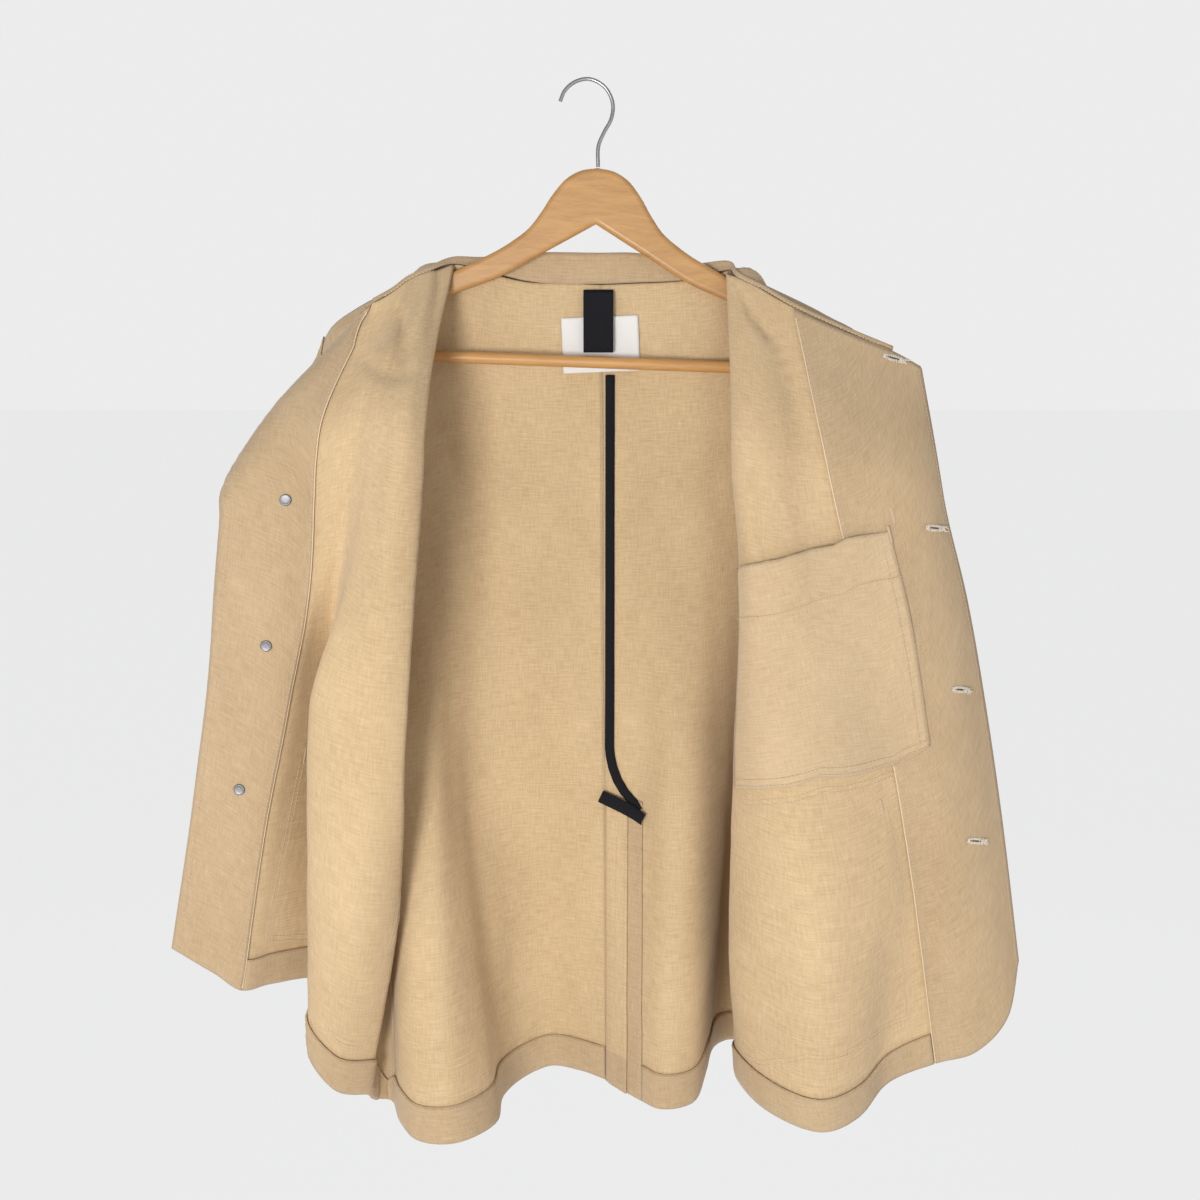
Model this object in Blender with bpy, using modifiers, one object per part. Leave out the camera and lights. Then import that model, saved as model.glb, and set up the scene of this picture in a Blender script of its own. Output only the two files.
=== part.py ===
"""Chore jacket of heavy cotton drill on a wooden hanger, its fronts opened outwards.

The origin is the inside of the hook's bend, where the hanger hangs. X runs to the
viewer's right, Y away from the viewer, Z up. Tables are in millimetres; the meshes
are in metres. The wearer's right side is on the viewer's left.
"""
import math
from collections import namedtuple

import bmesh
import bpy
import numpy as np
from mathutils import Matrix, Vector
from mathutils.bvhtree import BVHTree

MM = 0.001
CLOTH = 1.6            # wall of the outer cloth
LINING_CLOTH = 1.2     # wall of facings, turn-ups and patch pockets
TAPE = 0.8             # wall of tapes and the label
LAID_GAP = 0.5         # space under a piece that is sewn onto a panel
SEAM_TRIM = 0.4        # each panel's share of the centre back seam
SIDE_TRIM = 2.2        # and of the side seams, which run round a bend
SHOULDER_GAP = 1.1     # half the space between the walls' middles at the shoulder seam
COLLAR_LIFT = 1.4      # space between the neckline's edge and the collar
ARMHOLE_GAP = 3.6      # space between the armhole's edge and the sleeve's middle surface
ARM_ZONE = -240.0      # above this height the fronts stay before the hanger, the back behind it
BEND_LIMIT = 0.6       # cosine of the sharpest half bend that a laid piece allows for
COLUMN_STEP = 17.0     # distance between the vertical lines of a panel's grid
FINE_STEP = 12.0       # the same for the panel with the roll
HEM_DEPTH = 30.0

# Middle surfaces of the layers on a panel, measured from the middle of the panel's wall.
TOUCH_LIFT = CLOTH / 2 + LAID_GAP + LINING_CLOTH / 2
FACING_LIFT = 2.5
OVER_FACING_LIFT = FACING_LIFT + LINING_CLOTH + 1.4
EXTENSION_LIFT = TOUCH_LIFT + LINING_CLOTH / 2 + 0.3 + CLOTH / 2
TAPE_LIFT = CLOTH / 2 + 0.6 + TAPE / 2
LABEL_LIFT = TAPE_LIFT + 0.6
VENT_TAPE_LIFT = 6.2

# Rows of a panel's grid, as shares of its height; the second list is finer at the roll.
ROWS = (0, 0.05, 0.11, 0.18, 0.25, 0.32, 0.39, 0.46, 0.53, 0.60, 0.68, 0.76, 0.82, 0.88, 0.93,
        0.965, 0.985, 0.993, 1)
ROLL_ROWS = ROWS[:9] + (0.58, 0.62, 0.66, 0.70, 0.73, 0.76, 0.79, 0.82, 0.85, 0.88, 0.91, 0.94,
                        0.965, 0.985, 0.993, 1)

# Heights at which the tables give each fold, as shares from its hem to its top edge.
LEVELS = {"hem": 0.0, "low": 0.25, "mid": 0.46, "chest": 0.63, "high": 0.80, "roll": 0.985, "top": 1.0}

# One row for each vertical fold line of a panel. hem and top are (x, y, z); low, mid,
# chest and high are (x, y); roll is how far the cloth steps out in y just below its top.
Fold = namedtuple("Fold", "hem low mid chest high roll top")

SIDE_SEAM_RIGHT = Fold((-176, -26, -861), (-180, -30), (-181, -33), (-184, -31), (-193, -20), 0,
                       (-210, -6, -460))
SIDE_SEAM_LEFT = Fold((148, 62, -854), (152, 26), (166, -2), (182, -10), (200, -10), 0,
                      (214, -6, -464))
CENTRE_BACK = Fold((15, 2, -856), (14, 8), (13, 12), (12, 16), (12, 20), 0, (10, 17, -162))

FRONT_RIGHT = {
    "edge": Fold((-345, -75, -706), (-322, -80), (-305, -85), (-295, -92), (-286, -90),
                 0, (-279, -67, -210)),
    "buttons": Fold((-309, -80, -726), (-287, -88), (-262, -95), (-244, -104), (-234, -96),
                    0, (-237, -58, -199)),
    "facing": Fold((-289, -76, -742), (-264, -84), (-238, -90), (-218, -98), (-211, -94),
                   0, (-173, -44, -180)),
    "pocket": Fold((-270, -60, -743), (-247, -68), (-224, -74), (-208, -98), (-192, -100),
                   0, (-156, -34, -169)),
    "valley": Fold((-229, -33, -750), (-222, -43), (-213, -62), (-196, -97), (-179, -103),
                   0, (-149, -30, -163)),
    "inlet": Fold((-218, -48, -772), (-211, -64), (-208, -84), (-190, -105), (-170, -108),
                  0, (-144, -27, -159)),
    "lip": Fold((-235, -70, -797), (-228, -92), (-221, -106), (-185, -116), (-162, -110),
                0, (-139, -24, -156)),
    "bulge": Fold((-214, -67, -834), (-190, -106), (-178, -124), (-160, -128), (-143, -116),
                  0, (-129, -20, -153)),
    "ridge": Fold((-190, -49, -846), (-158, -76), (-145, -112), (-137, -116), (-128, -104),
                  0, (-124, -13, -152)),
    "neck": Fold((-189, -45, -850), (-167, -70), (-153, -101), (-147, -104), (-136, -82),
                 -9, (-112, -1.1, -146.5)),
    "shoulder_in": Fold((-188, -42, -853), (-173, -63), (-163, -88), (-162, -84), (-152, -56),
                        -9, (-150, -1.1, -163)),
    "shoulder_mid": Fold((-187, -38.5, -856), (-178, -55), (-173, -74), (-179, -66), (-180, -42),
                         -9, (-190, -1.1, -181)),
    "shoulder_tip": Fold((-185.5, -34, -858), (-182, -47), (-181, -61), (-190, -58), (-201, -42),
                         -9, (-218, -1.1, -205)),
    "armhole_high": Fold((-183.5, -30.5, -859), (-184, -40), (-184, -51), (-192, -50), (-206, -42),
                         0, (-212, -28, -290)),
    "armhole_low": Fold((-180, -27.5, -860), (-183.5, -34), (-184, -42), (-189, -41), (-200, -38),
                        0, (-207, -36, -390)),
    "side": SIDE_SEAM_RIGHT,
}
BACK_RIGHT = {
    "centre": CENTRE_BACK,
    "blade_in": Fold((-7, 20, -856), (-9, 18), (-10, 17), (-13, 18), (-16, 22), 0, (-18, 17, -161)),
    "hollow": Fold((-35, 36, -858), (-41, 30), (-45, 24), (-47, 20), (-50, 24), 0, (-50, 16, -160)),
    "hollow_out": Fold((-62, 22, -864), (-70, 25), (-79, 24), (-78, 22), (-80, 24), 0, (-75, 13, -155)),
    "flute_in": Fold((-78, -6, -868), (-94, 2), (-104, 14), (-103, 20), (-102, 22), 0, (-92, 9.5, -150)),
    "neck": Fold((-82, -55, -870), (-104, -28), (-118, -6), (-122, 14), (-120, 20), 9, (-112, 1.1, -146.5)),
    "flute": Fold((-114, -86, -872), (-125, -60), (-131, -34), (-138, 12), (-135, 20),
                  9, (-130, 1.1, -154.5)),
    "flute_out": Fold((-144, -80, -872), (-148, -58), (-150, -38), (-158, 10), (-155, 19),
                      9, (-160, 1.1, -167.5)),
    "shoulder_mid": Fold((-160, -58, -866), (-161, -50), (-164, -38), (-178, 8), (-182, 18),
                         9, (-195, 1.1, -184)),
    "shoulder_tip": Fold((-166, -38, -863), (-167, -41), (-177, -24), (-200, 8), (-212, 20),
                         9, (-218, 1.1, -205)),
    "armhole_high": Fold((-169, -31, -862), (-170, -36), (-176, -29), (-194, 4), (-211, 26),
                         0, (-217, 36, -290)),
    "armhole_low": Fold((-172, -27.5, -861), (-174.5, -31.5), (-177, -32), (-187, -16), (-204, 14),
                        0, (-211, 38, -390)),
    "side": SIDE_SEAM_RIGHT,
}
BACK_LEFT = {
    "centre": CENTRE_BACK,
    "flute_in": Fold((44, -32, -859), (44, -8), (44, 8), (43, 15), (43, 20), 0, (36, 16, -161)),
    "flute": Fold((62, -46, -861), (67, -32), (70, -14), (70, 8), (70, 18), 0, (63, 15, -160)),
    "flute_out": Fold((87, -36, -860), (91, -30), (94, -14), (94, 8), (94, 16), 0, (88, 12, -158)),
    "hollow_in": Fold((102, 8, -852), (113, 0), (116, 6), (116, 14), (113, 18), 0, (105, 9, -155)),
    "neck": Fold((112, 60, -852), (124, 40), (133, 28), (134, 22), (129, 20), 9, (117, 1.1, -151.5)),
    "hollow": Fold((122, 78, -853), (134, 52), (145, 34), (154, 24), (152, 20), 9, (155, 1.1, -168)),
    "shoulder_mid": Fold((132, 85, -854), (142, 54), (155, 34), (174, 24), (176, 20), 9, (196, 1.1, -188)),
    "shoulder_tip": Fold((140, 84, -855), (149, 50), (168, 30), (192, 26), (214, 26), 9, (228, 1.1, -209)),
    "armhole_high": Fold((145, 79, -855), (152, 46), (168, 22), (188, 22), (212, 32), 0, (226, 36, -296)),
    "armhole_low": Fold((148, 71, -854), (153, 38), (167, 12), (182, 8), (206, 22), 0, (222, 38, -394)),
    "side": SIDE_SEAM_LEFT,
}
FRONT_LEFT = {
    "edge": Fold((359, -60, -722), (339, -66), (319, -74), (300, -82), (278, -84), 0, (264, -60, -230)),
    "buttonholes": Fold((351, -60, -775), (321, -76), (300, -88), (281, -98), (261, -98),
                        0, (242, -58, -218)),
    "stitching": Fold((327, -54, -806), (297, -78), (275, -94), (253, -104), (226, -102),
                      0, (202, -50, -201)),
    "facing": Fold((296, -46, -819), (267, -74), (239, -96), (212, -106), (186, -100), 0, (164, -42, -183)),
    "pocket": Fold((255, -40, -840), (249, -80), (216, -104), (181, -112), (160, -100),
                   0, (151, -34, -175)),
    "step": Fold((228, -63, -859), (224, -94), (193, -112), (164, -116), (148, -102), 0, (140, -28, -168)),
    "bulge": Fold((196, -75, -867), (179, -106), (157, -116), (145, -116), (138, -100),
                  0, (131, -22, -162)),
    "ridge_out": Fold((151, -46, -860), (143, -84), (132, -104), (129, -110), (124, -94),
                      0, (121, -18, -158)),
    "ridge": Fold((130, -4, -850), (118, -48), (118, -78), (121, -92), (114, -82), 0, (113, -12, -155)),
    "neck": Fold((132, 6, -850), (124, -38), (126, -68), (132, -82), (124, -66), -9, (117, -1.1, -151.5)),
    "shoulder_in": Fold((134, 16, -851), (131, -28), (136, -58), (148, -70), (146, -48),
                        -9, (155, -1.1, -168)),
    "shoulder_mid": Fold((137, 26, -852), (137, -18), (147, -48), (166, -60), (178, -40),
                         -9, (196, -1.1, -188)),
    "shoulder_tip": Fold((141, 36, -853), (143, -8), (159, -42), (190, -54), (210, -40),
                         -9, (228, -1.1, -209)),
    "armhole_high": Fold((144, 45, -853), (147, 2), (162, -30), (188, -46), (208, -46),
                         0, (224, -34, -296)),
    "armhole_low": Fold((147, 54, -854), (149, 14), (163, -16), (180, -34), (200, -38),
                        0, (216, -42, -394)),
    "side": SIDE_SEAM_LEFT,
}

# The top corner of the wearer's right front flops back behind a slanting roll.
ROLL_START = Vector((-169.5, 0, -194.2))     # near the neckline
ROLL_END = Vector((-295.5, 0, -354.2))       # on the front edge
ROLL_Y = (-44, -90)                      # the front's depth at the two ends
ROLL_RADIUS = 10.0
ROLL_EASE = 18.0                         # length over which the roll begins at the neckline
ROLL_FADE = 30.0                         # length over which the front settles onto the roll
ROLL_DROOP = 0.02                        # how far the flopped corner leans back

# Collar rows from the wearer's left end to the right end: the panel and fold that the row
# is sewn to, stand height, arch of the fall, free edge of the fall.
CollarRow = namedtuple("CollarRow", "panel fold height arch edge")
COLLAR = (
    CollarRow("front_left", "buttonholes", 4.5, 0, (256, -53, -274)),
    CollarRow("front_left", "stitching", 4.5, 0, (206, -41, -256)),
    CollarRow("front_left", "facing", 4.5, 0, (176, -26, -202)),
    CollarRow("front_left", "step", 4.5, 0, (153, -15, -180)),
    CollarRow("front_left", "ridge_out", 5.5, 5, (138, -2, -154.5)),
    CollarRow("front_left", "neck", 8, 6, (134, 25, -176)),
    CollarRow("back_left", "flute_out", 14, 4, (98, 37, -206)),
    CollarRow("back_left", "flute_in", 26, 2, (40, 39, -212)),
    CollarRow("back_right", "centre", 27, 2, (10, 39, -214)),
    CollarRow("back_right", "hollow", 25, 2, (-54, 39, -211)),
    CollarRow("back_right", "flute_in", 11, 6, (-100, 37, -198)),
    CollarRow("front_right", "neck", 7, 6, (-128, 25, -171)),
    CollarRow("front_right", "bulge", 5, 4, (-143, -2, -154)),
    CollarRow("front_right", "valley", 4.5, 0, (-156, -18, -180)),
    CollarRow("front_right", "pocket", 4.5, 0, (-166, -24, -188)),
    CollarRow("front_right", "facing", 4.5, 0, (-178, -36, -198)),
)
COLLAR_CLOTH = 1.6
COLLAR_ROLL = 2.6       # radius of the fold between stand and fall

# Sleeve rings below the armhole: outer point (x, z), inner point (x, z), centre y, half depth.
Ring = namedtuple("Ring", "outer inner y depth")
SLEEVE_RIGHT = (
    Ring((-229, -225), (-212, -468), 8, 42),
    Ring((-247, -250), (-214, -476), 14, 46),
    Ring((-267, -286), (-216, -484), 22, 52),
    Ring((-283, -332), (-218, -500), 28, 58),
    Ring((-293, -400), (-219, -530), 27, 65),
    Ring((-296, -490), (-219, -574), 29, 62),
    Ring((-296, -580), (-220, -626), 31, 58),
    Ring((-295, -670), (-223, -690), 32, 54),
    Ring((-292, -752), (-226, -756), 33, 51),
)
SLEEVE_LEFT = (
    Ring((240, -228), (217, -472), 2, 48),
    Ring((257, -252), (219, -480), 6, 54),
    Ring((273, -288), (221, -488), 14, 60),
    Ring((284, -334), (223, -504), 22, 64),
    Ring((293, -402), (224, -534), 27, 65),
    Ring((299, -492), (225, -578), 29, 62),
    Ring((303, -582), (228, -630), 31, 58),
    Ring((304, -672), (232, -694), 32, 54),
    Ring((302, -758), (236, -762), 33, 51),
)
SLEEVE_SIDES = 20

# Patch pockets: first and last column of the panel that each covers, its bottom and top
# edges as (column, share of the panel's height), and the lift.
Patch = namedtuple("Patch", "panel near far bottom top lift")
POCKETS = {
    "lower_pocket_right": Patch(
        "front_right", 3, 9,
        ((3, 0.075), (4.9, 0.063), (6.04, 0.048), (6.84, 0.078), (7.53, 0.073), (9, 0.055)),
        ((3, 0.345), (4.9, 0.325), (6.9, 0.285), (9, 0.265)), -TOUCH_LIFT),
    "lower_pocket_left": Patch(
        "front_left", 3.6, 9, ((3.6, 0.085), (4.78, 0.104), (6.22, 0.104), (7.1, 0.063), (9, 0.045)),
        ((3.6, 0.386), (4.8, 0.395), (6.2, 0.375), (7.2, 0.335), (9, 0.30)), -TOUCH_LIFT - LAID_GAP),
    "chest_pocket": Patch(
        "front_left", 1.9, 7.6, ((1.9, 0.45), (2.95, 0.423), (4.2, 0.43), (5.33, 0.442), (7.6, 0.405)),
        ((1.9, 0.76), (3.3, 0.725), (5, 0.717), (7.6, 0.68)), -TOUCH_LIFT),
    "inner_pocket": Patch(
        "front_left", 2.05, 7.6, ((2.05, 0.457), (2.99, 0.43), (4.2, 0.439), (5.33, 0.449), (7.6, 0.41)),
        ((2.05, 0.742), (3.35, 0.708), (5, 0.701), (7.6, 0.67)), OVER_FACING_LIFT),
}
FACING_TOP = 0.995       # share of the front's height
PIECE_GAP = 0.04         # in columns, between neighbouring pieces on one panel
HEM_END = 0.5            # in columns, before the side seam

# The back vent's layers on the wearer's left half: share of the height, ends in columns.
VENT_TOP = 0.335
VENT_FACING_END = 1.1
VENT_EXTENSION_END = 0.66

# Tapes, label and hanging loop on the back's inside, as (x, z) points; the loop's (y, z).
BEFORE_BACK = -60.0
BINDING_STRAIGHT = ((17, -246), (17, -556))
BINDING_TURN = ((17.5, -566), (19.5, -576), (24, -586), (31, -595), (40, -602))
BINDING_WIDTH = 7.0
VENT_TAPE = ((11, -599), (49, -619))
VENT_TAPE_WIDTH = 11.0
LABEL_AXIS = ((8.5, -188), (10.5, -234))
LABEL_WIDTH = 65.0
LOOP_SIDES = (-5, 20)
LOOP_SECTION = ((13.2, -166), (13.2, -212), (12.6, -216), (11.1, -218), (9.6, -216), (9, -212), (10, -168))

# Tack buttons on the wearer's right front: shares of its height, and turned profiles of
# (radius, height) for the button's head and for the rivet inside.
BUTTON_HEIGHTS = (0.302, 0.528, 0.745, 0.962)
BUTTON_HEAD = ((0, 3.2), (5.0, 2.9), (8.2, 1.6), (8.6, 0.6), (7.6, 0), (0, 0))
BUTTON_SHANK = 2.0       # space between the front and the button's head
RIVET_BACK = ((0, 1.9), (2.6, 1.7), (4.0, 0.9), (4.6, 0), (0, 0))
RIVET_GAP = 0.9

# Wooden hanger: half outlines as (distance from the stem, z), and the stem's place.
STEM_X = 9.5
ARM_TOP = ((0, -69), (14, -71.5), (25, -78), (36, -91), (46, -107), (55, -119), (70, -131),
           (110, -153), (160, -178), (198, -197), (210, -206))
ARM_BOTTOM = ((212, -212), (206, -219), (160, -197), (115, -174), (80, -160), (38, -136), (0, -114))
HANGER_THICK = 10.0
HANGER_ROUND = 4.0
HANGER_TILT = math.radians(2.0)          # the right arm hangs lower
BAR_RADIUS = 5.0
BAR_ENDS = (-188, -219, 196, -233)       # x and z of the left and the right end
WIRE_RADIUS = 1.6
HOOK_POINTS = ((-23.5, -16), (-20, -8), (-12, -1), (0, 1.6), (13, -5), (19.5, -19), (18, -30), (12.5, -40),
               (8, -50), (7.3, -68))

COLOURS = {
    "drill_inside": ((0.50, 0.36, 0.17), 0.90),
    "drill_face": ((0.40, 0.33, 0.20), 0.88),
    "tape_black": ((0.02, 0.02, 0.02), 0.75),
    "label_white": ((0.82, 0.81, 0.78), 0.70),
    "tack_metal": ((0.55, 0.54, 0.50), 0.35),
    "hanger_wood": ((0.52, 0.25, 0.08), 0.35),
    "hook_steel": ((0.60, 0.60, 0.60), 0.30),
}
METALS = ("tack_metal", "hook_steel")


# ---------------------------------------------------------------- curves through points

def slopes_smooth(knots, values):
    """Slopes of a curve that rounds its points, for unevenly spaced knots."""
    steps = np.diff(knots)[:, None]
    rise = np.diff(values, axis=0) / steps
    slopes = np.empty_like(values)
    slopes[0], slopes[-1] = rise[0], rise[-1]
    before, after = steps[:-1], steps[1:]
    slopes[1:-1] = (rise[:-1] * after + rise[1:] * before) / (before + after)
    return slopes


def slopes_level(knots, values):
    """Slopes of a curve that never swings past its points."""
    rise = np.diff(values, axis=0) / np.diff(knots)[:, None]
    slopes = np.zeros_like(values)
    slopes[0], slopes[-1] = rise[0], rise[-1]
    product = rise[:-1] * rise[1:]
    total = rise[:-1] + rise[1:]
    safe = np.where(np.abs(total) > 1e-9, total, 1.0)
    slopes[1:-1] = np.where(product > 0, 2 * product / safe, 0.0)
    return slopes


def curve_at(knots, values, slopes, places):
    """Cubic curve through values, read at each place."""
    spans = np.clip(np.searchsorted(knots, places, side="right") - 1, 0, len(knots) - 2)
    width = (knots[spans + 1] - knots[spans])[:, None]
    t = ((places - knots[spans]) / width[:, 0])[:, None]
    start, end = values[spans], values[spans + 1]
    lean_start, lean_end = slopes[spans] * width, slopes[spans + 1] * width
    return ((2 * t**3 - 3 * t**2 + 1) * start + (t**3 - 2 * t**2 + t) * lean_start
            + (3 * t**2 - 2 * t**3) * end + (t**3 - t**2) * lean_end)


# ---------------------------------------------------------------- panels

def fold_points(fold, heights):
    """Points of one fold line at the given shares of its height."""
    hem, top = np.array(fold.hem, float), np.array(fold.top, float)
    shares = np.array(list(LEVELS.values()))
    z = hem[2] + (top[2] - hem[2]) * shares
    lean = (LEVELS["roll"] - LEVELS["high"]) / (1 - LEVELS["high"])
    roll_x = fold.high[0] + (top[0] - fold.high[0]) * lean
    roll_y = fold.high[1] + (top[1] - fold.high[1]) * lean
    if fold.roll:
        roll_y = top[1] + fold.roll
    across = [fold.hem[:2], fold.low, fold.mid, fold.chest, fold.high, (roll_x, roll_y), top[:2]]
    values = np.column_stack([np.array(across, float), z])
    return curve_at(shares, values, slopes_level(shares, values), heights)


def corner_normals(grid):
    """Normals at a grid's corners, longer at a bend so that a moved layer keeps its distance."""
    a, b, c, d = grid[:-1, :-1], grid[1:, :-1], grid[1:, 1:], grid[:-1, 1:]
    first, second = np.cross(b - a, c - a), np.cross(c - a, d - a)
    first /= np.linalg.norm(first, axis=2)[..., None]
    second /= np.linalg.norm(second, axis=2)[..., None]
    low, high = slice(None, -1), slice(1, None)
    around = [(first, low, low), (first, high, low), (first, high, high),
              (second, low, low), (second, high, high), (second, low, high)]
    total = np.zeros_like(grid)
    for normal, i, j in around:
        total[i, j] += normal
    total /= np.linalg.norm(total, axis=2)[..., None]
    lean = np.ones(grid.shape[:2])
    for normal, i, j in around:
        lean[i, j] = np.minimum(lean[i, j], (total[i, j] * normal).sum(axis=2))
    return total / np.maximum(lean, BEND_LIMIT)[..., None]


class Panel:
    """A cut piece as a grid of points: columns run up its fold lines, rows across it."""

    def __init__(self, folds, heights, inward, side, step=COLUMN_STEP, bend=None):
        self.names = list(folds)
        self.heights = np.asarray(heights, float)
        lines = np.array([fold_points(fold, self.heights) for fold in folds.values()])
        widths = np.linalg.norm(np.diff(lines, axis=0), axis=2).mean(axis=1)
        counts = [max(1, round(width / step)) for width in widths]
        self.columns = np.concatenate(
            [i + np.arange(n) / n for i, n in enumerate(counts)] + [[len(counts)]])
        grid = np.empty((len(self.columns), len(self.heights), 3))
        for j in range(len(self.heights)):
            row = lines[:, j]
            steps = np.sqrt(np.linalg.norm(np.diff(row, axis=0), axis=1))
            knots = np.concatenate([[0], np.cumsum(steps)])
            places = np.interp(self.columns, np.arange(len(knots)), knots)
            grid[:, j] = curve_at(knots, row, slopes_smooth(knots, row), places)
        over_arm = grid[..., 2] > ARM_ZONE
        grid[..., 1] = np.where(over_arm, side * np.maximum(side * grid[..., 1], SHOULDER_GAP), grid[..., 1])
        self.neckline = grid[:, -1].copy()
        if bend:
            opened = self.columns <= self.names.index("ridge")
            grid[opened] = [[bend(point) for point in column] for column in grid[opened]]
        self.grid = grid
        self.inner = inward * corner_normals(grid)

    def column_of(self, name):
        return float(self.names.index(name))

    def at(self, column, height, lift=0.0):
        """Point of the faceted panel, moved out of its inner face by lift."""
        i = np.interp(column, self.columns, np.arange(len(self.columns)))
        j = np.interp(height, self.heights, np.arange(len(self.heights)))
        i0, j0 = min(int(i), len(self.columns) - 2), min(int(j), len(self.heights) - 2)
        a, b = i - i0, j - j0
        near, far = (i0, j0), (i0 + 1, j0 + 1)
        corner, first, second = ((i0 + 1, j0), a, b) if a > b else ((i0, j0 + 1), b, a)
        near, corner, far = (self.grid[c] + self.inner[c] * lift for c in (near, corner, far))
        return near + (corner - near) * first + (far - corner) * second

    def column_height(self, column):
        return abs(self.at(column, 1.0)[2] - self.at(column, 0.0)[2])

    def trimmed(self, first=0.0, last=0.0):
        """The grid with its first and last columns drawn back for a seam."""
        grid = self.grid.copy()
        for end, beside, gap in ((0, 1, first), (-1, -2, last)):
            if gap:
                step = grid[beside] - grid[end]
                grid[end] += step * (gap / np.linalg.norm(step, axis=1))[:, None]
        return grid


def laid_grid(panel, start, end, bottom, top, lift):
    """A patch over a panel from column start to end; bottom and top give its heights."""
    inside = panel.columns[(panel.columns > start + 0.02) & (panel.columns < end - 0.02)]
    columns = np.concatenate([[start], inside, [end]])
    middle = columns[len(columns) // 2]
    low, high = bottom(middle), top(middle)
    between_rows = panel.heights[(panel.heights > low + 0.004) & (panel.heights < high - 0.004)]
    shares = (np.concatenate([[low], between_rows, [high]]) - low) / (high - low)
    grid = []
    for column in columns:
        low, high = bottom(column), top(column)
        grid.append([panel.at(column, low + (high - low) * share, lift) for share in shares])
    return np.array(grid)


def flop(point, layer=0.0):
    """Wind a point beyond the slanting roll round it, to behind the front.

    layer is how far the point lies behind the front's own cloth.
    """
    axis = ROLL_END - ROLL_START
    length = axis.length
    axis = axis / length
    outward = Vector((axis.z, 0, -axis.x))
    offset = Vector((point[0], 0, point[2])) - ROLL_START
    beyond, along = offset.dot(outward), offset.dot(axis)
    if beyond <= 0:
        return point
    surface = ROLL_Y[0] + (ROLL_Y[1] - ROLL_Y[0]) * min(max(along / length, 0), 1)
    behind = layer + (point[1] - layer - surface) * max(0, 1 - beyond / ROLL_FADE)
    turn = min(beyond / ROLL_RADIUS, math.pi)
    rest = beyond - turn * ROLL_RADIUS
    radius = ROLL_RADIUS - behind
    reach = radius * math.sin(turn) - rest
    depth = surface + ROLL_RADIUS - radius * math.cos(turn) + rest * ROLL_DROOP
    moved = ROLL_START + axis * along + outward * reach
    begun = min(max((along + ROLL_EASE / 2) / ROLL_EASE, 0), 1)
    begun *= begun * (3 - 2 * begun)
    return point + (np.array((moved.x, depth, moved.z)) - point) * begun


# ---------------------------------------------------------------- making objects

def clear_scene():
    for item in list(bpy.data.objects):
        bpy.data.objects.remove(item, do_unlink=True)


def finish_of(name, kind):
    colour, roughness = COLOURS[kind]
    material = bpy.data.materials.new(name)
    material.use_nodes = True
    shader = material.node_tree.nodes["Principled BSDF"]
    shader.inputs["Base Color"].default_value = (*colour, 1)
    shader.inputs["Roughness"].default_value = roughness
    shader.inputs["Metallic"].default_value = 1.0 if kind in METALS else 0.0
    material.diffuse_color = (*colour, 1)
    return material


def add_object(name, data, kind):
    item = bpy.data.objects.new(name, data)
    collection.objects.link(item)
    data.materials.append(finish_of(name, kind))
    return item


def cloth_from_grid(name, grid, thickness, kind, closed=False):
    """A grid of millimetre points as an open surface, thickened on both sides."""
    mesh = bpy.data.meshes.new(name)
    shell = bmesh.new()
    lines = [[shell.verts.new(Vector(point) * MM) for point in line] for line in grid]
    if closed:
        lines.append(lines[0])
    for left, right in zip(lines, lines[1:]):
        for j in range(len(left) - 1):
            shell.faces.new((left[j], right[j], right[j + 1]))
            shell.faces.new((left[j], right[j + 1], left[j + 1]))
    shell.to_mesh(mesh)
    shell.free()
    mesh.shade_smooth()
    item = add_object(name, mesh, kind)
    wall = item.modifiers.new("wall", "SOLIDIFY")
    wall.thickness = thickness * MM
    wall.offset = 0.0
    wall.use_quality_normals = True
    return item


def lay(name, panel, start, end, bottom, top, lift, kind="drill_face", thickness=LINING_CLOTH):
    """A piece of cloth sewn onto a panel's inner face, or its outer one if lift is negative."""
    grid = laid_grid(panel, start, end, bottom, top, lift)
    return cloth_from_grid(name, grid, thickness, kind)


def turned(name, profile, place, direction, kind, sides=14):
    """A turned piece: profile rows are (radius, height), from the outer face to the back."""
    mesh = bpy.data.meshes.new(name)
    shell = bmesh.new()
    verts = [shell.verts.new((radius * MM, 0, height * MM)) for radius, height in profile]
    for low, high in zip(verts, verts[1:]):
        shell.edges.new((low, high))
    turn = Vector(direction).to_track_quat("Z", "Y").to_matrix().to_4x4()
    shell.to_mesh(mesh)
    shell.free()
    item = add_object(name, mesh, kind)
    item.matrix_world = Matrix.Translation(Vector(place) * MM) @ turn
    screw = item.modifiers.new("turn", "SCREW")
    screw.steps = screw.render_steps = sides
    screw.use_merge_vertices = True
    screw.merge_threshold = 0.00005
    screw.use_normal_calculate = False
    return item


def wire(name, points, radius, kind, resolution=2):
    """A round wire or rod through points in millimetres."""
    curve = bpy.data.curves.new(name, "CURVE")
    curve.dimensions = "3D"
    curve.bevel_depth = radius * MM
    curve.bevel_resolution = resolution
    curve.use_fill_caps = True
    spline = curve.splines.new("POLY")
    spline.points.add(len(points) - 1)
    for target, point in zip(spline.points, points):
        target.co = (*(Vector(point) * MM), 1)
    return add_object(name, curve, kind)


def constant(value):
    return lambda column: value


# ---------------------------------------------------------------- the pieces

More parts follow.
